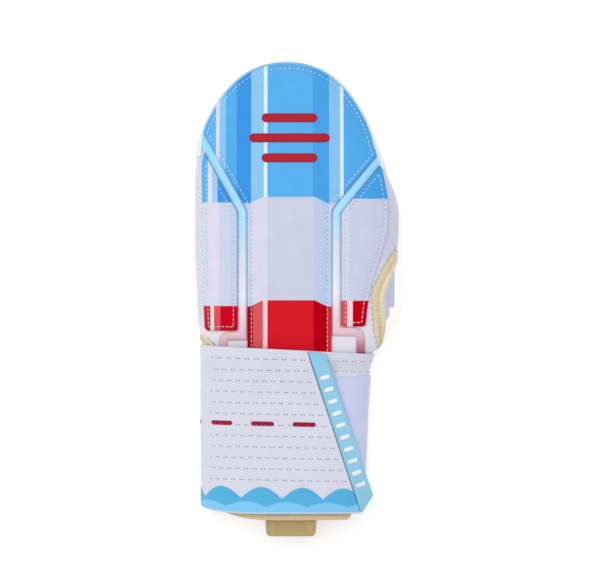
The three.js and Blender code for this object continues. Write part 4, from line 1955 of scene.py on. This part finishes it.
@dataclass
class PalmSole:
    """The plain, stiff palm plate."""

    form: MittForm
    thickness: float = 2.4
    inset: float = 3.0
    tip_inset: float = 12.0
    end_y: float = -5.5
    ledge_x: float = 64.6
    ledge_y: float = 24.0
    tongue: tuple[Corner, ...] = (  # corner below the thumb opening
        Corner(61, -6),
        Corner(61.4, -10.5),
        Corner(57.4, -18),
        Corner(46, -18),
        Corner(38, -5.5),
    )
    edge_roll: float = 0.9
    seam_inset: float = 4.0

    def outline(self) -> list[Vector]:
        """Outline of the plate, with a straight ledge past the thumb opening.

        Returns:
            The outline.
        """
        form = self.form
        levels = form.dome_levels(self.end_y, self.tip_inset, 80)
        left, right = (
            [Vector((form.outline_x(y, side, self.tip_inset, self.inset), y)) for y in levels]
            for side in Side
        )
        for point in right:
            if point.y < self.ledge_y:
                point.x = self.ledge_x
        tongue = [Vector((corner.x, corner.y)) for corner in self.tongue]
        return [*left, *reversed(right), *tongue]

    def relief(self, distance: float, _: Vector) -> float:
        """Depth of the sole below its upper face: rolled edge and a pressed line."""
        seam = 0.35 * groove(distance, self.seam_inset, 0.6)
        return self.thickness - rolled(distance, self.edge_roll) - seam

    def build(self, finish: Material) -> Piece:
        """Makes the plate, with its finished face down.

        Args:
            finish: Its material.

        Returns:
            The plate.
        """
        pattern = Pattern.from_outline(self.outline()).cut_grid(4.0).refine_edge(7.0)
        pattern.raise_face(self.relief).close_below().keep_map()
        pattern.wrap(lambda flat: Vector((flat.x, flat.y, self.thickness - flat.z)))
        return dress(pattern.finish("palm_sole", finish), Slot.PLATE, ["palm_plate"])


@dataclass
class WristStrap:
    """The woven strap, one wrap and a lap, with its loop patch, moulded tab and the tab's ribs."""

    form: MittForm
    top_y: float = -33.2
    top_slope: float = -0.056
    foot_y: float = -139.2
    foot_bow: float = 4.0
    foot_power: float = 3.4
    start_x: float = -5.0
    patch: float = 1.0
    lap_from: float = 0.78
    lap_to: float = 0.96
    tuck: float = 4.5
    tuck_release: float = 7.0
    lap_release: float = 30.0  # the lap comes down from the panels over a longer way than the layer below
    row_slope: float = -0.023  # the rows of eyelets lie flatter than the upper edge
    adapt: float = 9.0  # width along each edge in which the weave follows that edge
    back_from: float = 0.3
    back_to: float = 0.6
    width: float = 106.0
    eyelet_radius: float = 0.42
    eyelet_depth: float = 1.1
    pair_pitch: float = 5.6
    pair_gap: float = 1.75
    row_pitch: float = 7.1
    first_row: float = 6.3
    eyelets_from: float = -55.5
    eyelets_above: float = 16.0
    ripple: float = 0.25
    tab_top: Corner = Corner(7.4, -34)
    tab_foot: Corner = Corner(42.2, -139.6)
    tab_top_far: Corner = Corner(18.6, -35)
    tab_foot_far: Corner = Corner(50, -127.8)
    tab_thickness: float = 2.7
    tab_slope: float = 0.5
    tab_width: float = 11.5
    rib_count: int = 10
    rib_from: float = 0.175
    rib_to: float = 0.835
    rib_share: float = 0.34
    rib_inset: float = 0.2
    rib_height: float = 0.8
    rib_round: float = 1.2
    patch_top: float = -50.2
    patch_foot: float = -127.0
    patch_from_x: float = 10.0
    patch_to: float = math.radians(108)

    def top(self, x: float) -> float:
        """Upper edge at x."""
        return self.top_y + self.top_slope * x

    def foot(self, x: float) -> float:
        """Lower edge at x.

        Args:
            x: Place across the hand.

        Returns:
            Its place along the hand.
        """
        section = self.form.section(self.foot_y)
        reach = min(max((section.centre - x) / section.half, 0.0), 1.0)
        return self.foot_y + self.foot_bow * reach**self.foot_power

    @property
    def lap_rise(self) -> float:
        """How far the lap lies over the strap's start and the patch."""
        return self.form.strap + self.patch + self.form.gap + self.form.strap_gap

    def rise(self, angle: float, x: float, y: float) -> float:
        """How far the strap stands off the pouch.

        Args:
            angle: Angle round the wrist.
            x: Place across the hand.
            y: Place along the hand.

        Returns:
            The distance.
        """
        lap = self.lap_rise * smoothstep(angle / TURN, self.lap_from, self.lap_to)
        on_back = smoothstep(math.cos(angle), self.back_from, self.back_to)
        top = self.top(x)
        lapped = smoothstep(angle / TURN, self.lap_from, self.lap_to)
        release = lerp(self.tuck_release, self.lap_release, lapped)
        over = smoothstep(y, top - self.tuck - release, top - self.tuck)
        return self.form.strap_gap + lap + self.form.panel * on_back * over

    def on_wrap(self, angle: float, share: float, height: float) -> Vector:
        """Point of the strap at an angle round the wrist, a share of its width and a height in it.

        Args:
            angle: The angle.
            share: The share, from the foot.
            height: The height.

        Returns:
            The point.
        """
        form = self.form
        x = form.rim(form.section(lerp(self.foot_y, self.top_y, share)), angle).x
        up = share * self.width
        lean = self.row_slope * x
        near_top = smoothstep(up, self.width - self.adapt, self.width)
        near_foot = 1 - smoothstep(up, 0, self.adapt)
        y = self.foot_y + up + lean
        y += near_top * (self.top(x) - self.top_y - lean) + near_foot * (self.foot(x) - self.foot_y - lean)
        point = form.rim(form.section(y, self.rise(angle, x, y) + height), angle)
        point.y = y
        return point

    def end_line(self) -> tuple[Vector, Vector]:
        """A point of the strap's slanting end and the direction out of it.

        Returns:
            The point and the direction.
        """
        start = Vector((self.tab_top.x - self.form.strap_gap, self.tab_top.y, 0))
        way = Vector((self.tab_foot.x - self.tab_top.x, self.tab_foot.y - self.tab_top.y, 0)).normalized()
        return start, Vector((-way.y, way.x, 0))

    def rows(self) -> tuple[list[float], set[int]]:
        """Lines along the strap from its foot, and the numbers of the rows of faces with eyelets.

        Returns:
            The lines and the numbers.
        """
        r = self.eyelet_radius + 0.06
        count = int((self.width - self.first_row - 4) / self.row_pitch) + 1
        middles = sorted(self.width - self.first_row - self.row_pitch * k for k in range(count))
        lines, rows = [0.0, 0.3, 0.9], set()
        for middle in middles:
            gap = middle - r - lines[-1]
            lines.append(lines[-1] + gap / 2)
            lines.append(middle - r)
            rows.add(len(lines) - 1)
            lines.append(middle + r)
        rest = self.width - 0.9 - lines[-1]
        lines += [lines[-1] + rest * k / 4 for k in range(1, 5)]
        return [*lines, self.width - 0.3, self.width], rows

    def pierce(
        self, pattern: Pattern, rows: Sequence[tuple[float, int]], clear: Callable[[Vector], bool]
    ) -> None:
        """Sinks the eyelets into the face of the strap.

        Args:
            pattern: The flat strap.
            rows: Middle of each row of eyelets, and its number.
            clear: Whether an eyelet may be at a place.
        """
        mesh = pattern.mesh
        levels = np.array([level for level, _ in rows])
        found = []
        for face in mesh.faces:
            middle = face.calc_center_median()
            k = int(np.argmin(abs(levels - middle.y)))
            if abs(levels[k] - middle.y) > 0.1 or not clear(middle):
                continue
            phase = (middle.x + (self.pair_pitch / 2 if rows[k][1] % 2 else 0)) % self.pair_pitch
            if min(abs(phase - 0.5), abs(phase - 0.5 - self.pair_gap)) < 0.1:
                found.append(face)
        bmesh.ops.inset_individual(mesh, faces=found, thickness=0.06)
        rims = list({edge for face in found for edge in face.edges})
        bmesh.ops.subdivide_edges(mesh, edges=rims, cuts=1)
        for face in found:
            centre = face.calc_center_bounds()
            for vert in face.verts:
                away = (vert.co - centre).normalized()
                vert.co = centre + away * self.eyelet_radius
        sunk = bmesh.ops.extrude_discrete_faces(mesh, faces=found)
        for face in sunk["faces"]:
            for vert in face.verts:
                vert.co.z -= self.eyelet_depth
            face.material_index = 1
            for edge in face.edges:
                for wall in edge.link_faces:
                    wall.material_index = 1

    def build_strap(self, elastic: Material, shade: Material) -> Piece:
        """Makes the woven strap.

        Args:
            elastic: Its material.
            shade: Material inside the eyelets.

        Returns:
            The strap.
        """
        form = self.form
        start = form.back_angle(form.section((self.top_y + self.foot_y) / 2), self.start_x)
        angles, lengths = form.girth(lambda a: self.on_wrap(a, 0.5, form.strap), start, TURN + 1.3)
        lengths = lengths - np.interp(TURN, angles, lengths)
        r = self.eyelet_radius + 0.06
        cell = [0.5 - r, 0.5 + r, 0.5 + self.pair_gap - r, 0.5 + self.pair_gap + r]
        cell += [c + self.pair_pitch / 2 for c in cell]
        first = math.floor(lengths[0] / self.pair_pitch)
        last = math.ceil(lengths[-1] / self.pair_pitch)
        columns = [k * self.pair_pitch + c for k in range(first, last) for c in cell]
        columns = [lengths[0], *(c for c in columns if lengths[0] + 0.5 < c < lengths[-1] - 0.5), lengths[-1]]
        lines, eyelet_rows = self.rows()
        middles = [((lines[i] + lines[i + 1]) / 2, k) for k, i in enumerate(sorted(eyelet_rows))]
        pattern = Pattern.from_grid(columns, lines)
        for vert in pattern.mesh.verts:
            vert.co.z = form.strap - rolled(min(vert.co.y, self.width - vert.co.y), 0.9) * 0.7
        end, out = self.end_line()

        def place(flat: Vector) -> Vector:
            """Point of the strap from the flat pattern."""
            angle = float(np.interp(flat.x, lengths, angles))
            wave = noise.noise(Vector((flat.x / 24, flat.y / 34, 3.7)))
            free = smoothstep(min(flat.y, self.width - flat.y), 2, 16) * smoothstep(math.cos(angle), 0.1, 0.5)
            return self.on_wrap(angle, flat.y / self.width, flat.z + self.ripple * wave * free)

        def clear(flat: Vector) -> bool:
            """Whether an eyelet keeps off the printed border, the turned edge and the slanting end."""
            spot = place(flat)
            turned = spot.x < self.eyelets_from and spot.z > form.mid_level
            return flat.y > self.eyelets_above and not turned and (flat.x < 0 or (spot - end).dot(out) < -1.5)

        self.pierce(pattern, middles, clear)
        lap = pattern.mesh.faces.layers.int.new("lap")
        pattern.close_below()
        for face in pattern.mesh.faces:
            face[lap] = int(face.calc_center_median().x > 0)
        pattern.keep_map().wrap(place)
        mesh = pattern.mesh
        faces = [face for face in mesh.faces if face[lap]]
        edges = list({edge for face in faces for edge in face.edges})
        verts = list({vert for face in faces for vert in face.verts})
        geom = verts + edges + faces
        bmesh.ops.bisect_plane(mesh, geom=geom, dist=1e-4, plane_co=end, plane_no=out, clear_outer=True)
        bmesh.ops.holes_fill(mesh, edges=[edge for edge in mesh.edges if edge.is_boundary], sides=0)
        piece = dress(pattern.finish("wrist_wrap", elastic, shade), Slot.ELASTIC, ["wrist_strap"])
        return piece

    def build_patch(self, pile: Material) -> Piece:
        """Makes the loop patch that the strap's end grips.

        Args:
            pile: Its material.

        Returns:
            The patch.
        """
        form = self.form
        middle = form.section((self.patch_top + self.patch_foot) / 2)
        base = form.strap_gap + form.strap
        start = form.back_angle(middle, self.patch_from_x)
        grown = form.section(middle.y, base)
        angles, lengths = form.girth(lambda a: form.rim(grown, a), start, self.patch_to)
        steps = round(lengths[-1])
        height = self.patch_top - self.patch_foot
        columns = [lengths[-1] * i / steps for i in range(steps + 1)]
        rows = [self.patch_foot + height * i / 82 for i in range(83)]
        pattern = Pattern.from_grid(columns, rows)
        for vert in pattern.mesh.verts:
            x, y, _ = vert.co
            edge = min(x, lengths[-1] - x, y - self.patch_foot, self.patch_top - y)
            sewn = 0.4 * groove(edge, 2.6, 0.8)
            fuzz = 0.12 * noise.noise(Vector((x / 1.7, y / 1.7, 0.3)))
            vert.co.z = form.gap + self.patch - rolled(edge, 0.7) - sewn + fuzz
        pattern.close_below(0.05).keep_map()

        def place(flat: Vector) -> Vector:
            """Point of the patch from the flat pattern."""
            angle = float(np.interp(flat.x, lengths, angles))
            point = form.rim(form.section(flat.y, base + flat.z), angle)
            point.y = flat.y
            return point

        piece = dress(pattern.wrap(place).finish("grip_patch", pile), Slot.LOOP, ["loop_patch"])
        return piece

    def on_tab(self, along: float, across: float, height: float) -> Vector:
        """Point of the tab: shares of its length from the top and of its width, height over its underside.

        Args:
            along: Share of its length.
            across: Share of its width.
            height: The height.

        Returns:
            The point.
        """
        form = self.form

        def mix(a: Corner, b: Corner, share: float) -> Vector:
            """Point between two corners."""
            return Vector((lerp(a.x, b.x, share), lerp(a.y, b.y, share)))

        near = mix(self.tab_top, self.tab_foot, along)
        plan = near.lerp(mix(self.tab_top_far, self.tab_foot_far, along), across)

        def level(x: float, y: float) -> float:
            """Height of the strap under the tab."""
            angle = form.back_angle(form.section(y, form.strap_gap + self.lap_rise), x)
            return form.back_height(x, y, self.rise(TURN + angle, x, y))

        here = level(near.x, near.y)
        slope = min(self.tab_slope, level(near.x - 1, near.y) - here)
        return Vector((plan.x, plan.y, here - slope * (plan.x - near.x) + height))

    @property
    def tab_length(self) -> float:
        """Length of the tab along the strap's end."""
        return math.hypot(self.tab_foot.x - self.tab_top.x, self.tab_foot.y - self.tab_top.y)

    def square_share(self, share: float, across: float) -> float:
        """Where a line square to the tab's near edge crosses a share of its width.

        Args:
            share: Share of the length.
            across: Share of the width.

        Returns:
            The share of the length at which it crosses.
        """
        way = Vector((self.tab_foot.x - self.tab_top.x, self.tab_foot.y - self.tab_top.y))

        def lead(near: Corner, far: Corner) -> float:
            """How far an end of the tab leans along it, as a share of its length."""
            return Vector((far.x - near.x, far.y - near.y)).dot(way) / way.length_squared

        top, foot = lead(self.tab_top, self.tab_top_far), lead(self.tab_foot, self.tab_foot_far)
        return (share - across * top) / (1 + across * (foot - top))

    def on_tab_flat(self, base: float, square: bool = False) -> Place:
        """Place on the tab of a flat pattern that lies at a height over the tab's underside.

        Args:
            base: The height.
            square: Whether lines across stay square to it.

        Returns:
            The place of each point.
        """

        def place(flat: Vector) -> Vector:
            """Point on the tab, with lines across it slanting as its ends do or square to it."""
            along, across = -flat.y / self.tab_length, flat.x / self.tab_width
            return self.on_tab(self.square_share(along, across) if square else along, across, base + flat.z)

        return place

    def tab_relief(self, distance: float, _: Vector) -> float:
        """Height of the tab's face: rolled edge, raised border and a level field."""
        border = 0.4 * smoothstep(distance, 1.0, 1.7)
        return self.tab_thickness + 0.25 - rolled(distance, 0.8) - border

    def build_tab(self, finish: Material) -> Piece:
        """Makes the moulded tab.

        Args:
            finish: Its material.

        Returns:
            The tab.
        """
        wide, low = self.tab_width, -self.tab_length
        corners = [Corner(0, 0, 1), Corner(0, low, 1.2), Corner(wide, low, 1.5), Corner(wide, 0, 5)]
        pattern = Pattern.from_outline(rounded_path(corners, closed=True, steps=8), (0.12, 0.25, 0.4))
        pattern.cut_grid(1.2).refine_edge(2.4).raise_face(self.tab_relief).close_below().keep_map()
        piece = pattern.wrap(self.on_tab_flat(0.0)).finish("closing_tab", finish)
        return dress(piece, Slot.TAB, ["strap_tab"])

    def rib_relief(self, distance: float, _: Vector) -> float:
        """Height of a rib's face, with its rolled edge."""
        return self.rib_height - rolled(distance, 0.45)

    def build_ribs(self, finish: Material) -> list[Piece]:
        """Makes the raised ribs on the tab.

        Args:
            finish: Their material.

        Returns:
            The ribs.
        """
        pitch = (self.rib_to - self.rib_from) / (self.rib_count - 1)
        half = pitch * self.rib_share / 2 * self.tab_length
        near, far = self.rib_inset * self.tab_width, (1 - self.rib_inset) * self.tab_width
        pieces = []
        for k in range(self.rib_count):
            middle = -(self.rib_from + pitch * k) * self.tab_length
            low, high = middle - half, middle + half
            places = ((near, low), (far, low), (far, high), (near, high))
            corners = [Corner(x, y, self.rib_round) for x, y in places]
            pattern = Pattern.from_outline(rounded_path(corners, closed=True, steps=6), (0.1, 0.15, 0.2))
            pattern.cut_grid(1.1).raise_face(self.rib_relief).close_below().keep_map()
            pattern.wrap(self.on_tab_flat(self.tab_thickness - 0.1, square=True))
            pieces.append(dress(pattern.finish(f"tab_ridge_{k + 1}", finish), Slot.RIB, [f"tab_rib_{k + 1}"]))
        return pieces


@dataclass
class WristEdge:
    """The tape hem of the wrist mouth, its stitches and the moulded pull tab."""

    form: MittForm
    hem: float = 4.2
    hem_gap: float = 0.6
    thickness: float = 3.9
    square: float = 0.55
    sides: int = 20
    steps: int = 220
    stitch_pitch: float = 3.0
    pull_x: float = -3.6
    pull_top: float = 17.2
    pull_foot: float = 16.0
    pull_root_y: float = -134.0
    pull_foot_y: float = -154.4
    pull_thickness: float = 2.2
    pull_round: float = 3.5
    grooves: tuple[float, ...] = (-151, -148.6, -146.2)
    groove_half: float = 9.5
    groove_depth: float = 0.7

    def build_hem(self, tape: Material, thread: Material) -> list[Piece]:
        """Makes the hem and its row of stitches.

        Args:
            tape: Material of the hem.
            thread: Material of the stitches.

        Returns:
            The hem and its stitches.
        """
        form = self.form
        wall = form.section(form.mouth_y, -form.wall / 2)
        drop = Vector((0, self.hem_gap + self.hem / 2, 0))
        ring = [form.rim(wall, TURN * i / 400) - drop for i in range(400)]
        line = Trail(ring, closed=True)

        def out_at(mark: float) -> Vector:
            """Direction out of the cuff."""
            across = Vector((0, 1, 0)).cross(line.heading(mark, 1.0)).normalized()
            core = Vector((wall.centre, 0, form.mid_level))
            outward = line.at(mark) - core
            outward.y = 0
            return across if across.dot(outward) > 0 else -across

        def place(flat: Vector) -> Vector:
            """Point of the hem from its place round the section and along the mouth."""
            low = signed_power(math.cos(flat.x), self.square) * self.hem / 2
            side = signed_power(math.sin(flat.x), self.square) * self.thickness / 2
            return line.at(flat.y) + Vector((0, low, 0)) + out_at(flat.y) * side

        section = [TURN * i / self.sides for i in range(self.sides + 1)]
        marks = [line.length * i / self.steps for i in range(self.steps + 1)]
        pattern = Pattern.from_grid(section, marks).keep_map(lambda flat: (flat.y, flat.x * 2.2))
        hem = dress(pattern.wrap(place, merge=0.005).finish("wrist_hem", tape), Slot.HEM, ["cuff_binding"])
        sewing = Sewing(radius=0.28)
        for mark in line.stations(self.stitch_pitch):
            out = out_at(mark)
            lift = out * (self.thickness / 2 + 0.02) + Vector((0, 0.9, 0))
            sewing.stitch(line.at(mark - 1.0) + lift, line.at(mark + 1.0) + lift, out)
        return [hem, sewing.finish("hem_stitching", thread)]

    def pull_relief(self, distance: float, flat: Vector) -> float:
        """Height of the pull tab's face: rolled edge, raised border and pressed grooves.

        Args:
            distance: Distance from its edge.
            flat: Place in the plan.

        Returns:
            The height.
        """
        level = self.pull_thickness - rolled(distance, 0.7) - 0.5 * smoothstep(distance, 1.3, 1.9)
        inside = 1 - smoothstep(abs(flat.x - self.pull_x), self.groove_half, self.groove_half + 1)
        for y in self.grooves:
            level -= self.groove_depth * inside * groove(flat.y, y, 0.5)
        return level

    def build_pull(self, finish: Material) -> Piece:
        """Makes the pull tab, which hangs out of the cuff's back wall.

        Args:
            finish: Its material.

        Returns:
            The pull tab.
        """
        x, r = self.pull_x, self.pull_round
        corners = [
            Corner(x - self.pull_top, self.pull_root_y, 1),
            Corner(x - self.pull_foot, self.pull_foot_y, r),
            Corner(x + self.pull_foot, self.pull_foot_y, r),
            Corner(x + self.pull_top, self.pull_root_y, 1),
        ]
        pattern = Pattern.from_outline(rounded_path(corners, closed=True, steps=10), (0.1, 0.25, 0.35))
        pattern.cut_grid(0.6).raise_face(self.pull_relief).close_below().keep_map()
        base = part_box("pull_tab")[0].z / MM
        pattern.wrap(lambda flat: Vector((flat.x, flat.y, base + flat.z)))
        return dress(pattern.finish("pull_loop", finish), Slot.PULL, ["pull_tab"])


@dataclass
class Studio:
    """White floor, a large soft box above and to the upper left, and a camera straight above."""

    aim: tuple[float, float, float] = (-0.3, 5.04, 30.0)
    distance: float = 2400.0
    frame_width: float = 384.8
    sensor: float = 36.0
    floor_size: float = 8.0
    floor_drop: float = 0.0003
    sky: float = 0.485
    key_watts: float = 28.0
    key_size: float = 2.2
    key_place: tuple[float, float, float] = (-0.3, 0.33, 2.0)

    def build_floor(self) -> Piece:
        """Makes the floor: white seamless paper.

        Returns:
            The floor.
        """
        mesh = bmesh.new()
        bmesh.ops.create_grid(mesh, x_segments=8, y_segments=8, size=self.floor_size / 2)
        bmesh.ops.translate(mesh, vec=(0, 0, -self.floor_drop), verts=mesh.verts[:])
        floor = to_object("floor", mesh)
        floor.data.materials.append(SeamlessPaper("seamless_paper", 0.9).make())
        return floor

    def build_light(self) -> None:
        """Lights the scene with a white room and one soft box."""
        scene = bpy.context.scene
        world = bpy.data.worlds.new("white_room")
        world.use_nodes = True
        sky = world.node_tree.nodes["Background"]
        sky.inputs["Color"].default_value = (1, 1, 1, 1)
        sky.inputs["Strength"].default_value = self.sky
        scene.world = world
        light = bpy.data.lights.new("soft_box", "AREA")
        light.energy = self.key_watts
        light.size = self.key_size
        lamp = bpy.data.objects.new("soft_box", light)
        lamp.location = self.key_place
        lamp.rotation_euler = (-Vector(self.key_place)).to_track_quat("-Z", "Y").to_euler()
        scene.collection.objects.link(lamp)
        scene.view_settings.view_transform = "Standard"
        scene.view_settings.look = "None"

    def build_camera(self) -> None:
        """Hangs the camera straight above the mitt, with the fingertips at the top."""
        data = bpy.data.cameras.new("overhead")
        data.sensor_width = self.sensor
        data.lens = self.sensor * self.distance / self.frame_width
        camera = bpy.data.objects.new("overhead", data)
        camera.location = (Vector(self.aim) + Vector((0, 0, self.distance))) * MM
        bpy.context.scene.collection.objects.link(camera)
        bpy.context.scene.camera = camera

    def build(self) -> None:
        """Makes the floor, the light and the camera."""
        self.build_floor()
        self.build_light()
        self.build_camera()


def centre_print() -> PrintedPolyester:
    """Print of the centre panel."""
    return PrintedPolyester(
        "printed_polyester_centre",
        blue=(
            (-75, "#62b7f4"), (-52.3, "#dfe0f6"), (-50, "#8cc8f5"), (-45.8, "#5ab0f1"), (-38.9, "#3f99e8"),
            (-29.4, "#8fcaf5"), (-21.2, "#e0f0ff"), (-19.3, "#5cb3f2"), (10.3, "#4ba5ec"), (20.6, "#8ac6f3"),
            (28, "#dceeff"), (30.1, "#58b0f1"),
        ),
        pale=(
            (-75, "#c9d8f0"), (-29.2, "#dedcee"), (-19.3, "#cfd4e8"), (10.8, "#c3d0ea"), (15.5, "#bccfec"),
            (21, "#ccd8f0"),
        ),
        red=(
            (-75, "#a90d20"), (-28.7, "#dc5a61"), (-21.8, "#ffd3dd"), (-19.3, "#da1e2a"), (10.8, "#bb0018"),
            (19.6, "#ce323d"),
        ),
    )


def little_finger_print() -> PrintedPolyester:
    """Print of the side panel at the little finger."""
    return PrintedPolyester(
        "printed_polyester_left",
        blue=((-75, "#5fb6f3"), (-57.9, "#e4e2f4"), (-54.9, "#a3d0f4"), (-51, "#3f9ae7")),
        pale=((-75, "#d9dff0"), (-57.6, "#e1dff0"), (-50.2, "#cfd9ed"), (-43, "#c8d4ee")),
        red=((-75, "#c62a36"), (-56.2, "#f7dbe4"), (-53.4, "#de565d"), (-49.4, "#d10824")),
        blue_foot=62.2,
        red_top=-4.6,
        drop=0.0,
    )


def thumb_print() -> PrintedPolyester:
    """Print of the side panel at the thumb."""
    return PrintedPolyester(
        "printed_polyester_right",
        blue=((-75, "#8cc8f4"), (36.5, "#46a8ea")),
        pale=((-75, "#d5daef"), (33.5, "#ced3ec")),
        red=((-75, "#d9595f"), (32.4, "#fbdbe4"), (35.8, "#c80018")),
        blue_foot=64.6,
        red_top=-1.2,
        drop=0.0,
    )


def main() -> None:
    """Builds the mitt's pieces in order, and the studio round them."""
    logging.basicConfig(level=logging.INFO, format="%(name)s %(message)s")
    form = MittForm()
    cream = KnitTape("stretch_binding", 0.85, gloss=0.1, colour="#f0e1c4", shade="#e7d6b4", depth=0.04).make()
    white_thread = SpunThread("spun_thread_white", 0.6).make()
    cream_thread = SpunThread("spun_thread_cream", 0.7, gloss=0.15, colour="#ecddb8").make()
    # painted shade: dark colour of the strands at the needle holes
    dark = SpunThread("needle_hole_shadow", 0.9, colour="#7d839c").make()

    thumb = BoundOpening(
        form,
        "thumb",
        "thumb_binding",
        near_x=52.9,
        near_y=1,
        lean=0.52,
        lean_below=0.05,
        bend=6,
        mid_y=0,
        width=9.4,
        thickness=4.6,
        sink=-0.6,
        roll_from=-14.6,
        thin_from=-32,
        thin_to=-19,
    )
    vent = BoundOpening(
        form,
        "vent",
        "side_vent_binding",
        near_x=-52.3,
        near_y=-37.9,
        lean=1.3,
        lean_below=1.3,
        bend=8,
        mid_y=-38,
        width=6,
        thickness=3.6,
        sink=-1.2,
        roll_from=0,
    )
    pouch = HandPouch(form, (thumb, vent)).build(SpacerKnit("spacer_knit", 0.85, gloss=0.15).make())
    PalmSole(form).build(CoatedCanvas("coated_canvas", 0.55, gloss=0.2).make())

    strap = WristStrap(form)
    panels = BackPanels(form, strap)
    thread, holes = Sewing(radius=0.27), Sewing(radius=0.34)
    outlines = (
        ("back_panel_centre", "centre_panel", panels.centre_outline(), centre_print()),
        ("back_panel_left", "left_panel", panels.side_outline(Side.LITTLE_FINGER), little_finger_print()),
        ("back_panel_right", "right_panel", panels.side_outline(Side.THUMB), thumb_print()),
    )
    for name, node, outline, finish in outlines:
        panels.panel(name, node, outline, finish.make())
        panels.sew(outline, thread, holes)
    for opening in (thumb, vent):
        opening.build(cream, cream_thread, holes)
    thread.finish("panel_stitching", white_thread)
    holes.finish("panel_needle_hole_shade", dark)
    left_fade = (
        (-40, "#d8a8b6"), (-26, "#e8c1cb"), (-14, "#edd2de"), (0, "#e5e9f2"), (22, "#d7dfeb"),
        (52, "#a8dbfa"), (110, "#9bdefd"),
    )
    right_fade = (
        (-40, "#a03a58"), (-30, "#c77f95"), (-24, "#e7c1cd"), (-12, "#edd5e1"), (4, "#e9f0f6"),
        (28, "#dbe5ed"), (55, "#a8deff"), (110, "#9adfff"),
    )
    for name, side, fade in (("left", Side.LITTLE_FINGER, left_fade), ("right", Side.THUMB, right_fade)):
        rubber = MouldedRubber(f"moulded_rubber_{name}_strip", 0.4, fade=fade).make()
        panels.strip(f"flex_strip_{name}", f"{name}_channel_strip", side, rubber)

    rim_fade = ((80, "#f1f7f9"), (112, "#e3f0f6"), (135, "#c3e0f0"), (148, "#92c8ea"), (156, "#86c0e5"))
    TipRim(form).build(MouldedRubber("moulded_rubber_rim", 0.4, gloss=0.35, fade=rim_fade).make())
    EmblemBars(form).build(
        form.gap + form.panel + panels.crown,
        MouldedRubber(
            "moulded_rubber_emblem", 0.5, gloss=0.15, fade=((80, "#b4162a"), (130, "#b4162a"))
        ).make(),
    )

    elastic = WovenElastic("woven_elastic", 0.8, gloss=0.2)
    strap.build_strap(elastic.make(), SpunThread("eyelet_shadow", 0.9, colour="#9599b0").make())
    strap.build_patch(BrushedLoop("brushed_loop", 0.9, gloss=0.1).make())
    # painted light: the tab is lighter towards its foot, lifting the shade there
    tab_fade = ((-150, "#98d0ec"), (-30, "#8fcfee"))
    strap.build_tab(MouldedRubber("moulded_rubber_tab", 0.45, gloss=0.3, fade=tab_fade).make())
    rib_fade = ((-150, "#f2f7fb"), (-30, "#f4f9fc"))
    strap.build_ribs(MouldedRubber("moulded_rubber_rib", 0.45, gloss=0.3, fade=rib_fade).make())

    edge = WristEdge(form)
    tan = KnitTape(
        "folded_tape", 0.8, gloss=0.15, colour="#ead4b0", shade="#d8c098", rib_pitch=1.0, depth=0.06
    )
    edge.build_hem(tan.make(), SpunThread("spun_thread_tan", 0.7, colour="#ead6b4").make())
    # painted shadow: the pull tab darkens towards its root, under the hem
    pull_shadow_fade = ((-156, "#b9a26a"), (-134, "#ad9561"))
    edge.build_pull(MouldedRubber("moulded_rubber_pull", 0.5, fade=pull_shadow_fade).make())

    Studio().build()


if __name__ == "__main__":
    main()
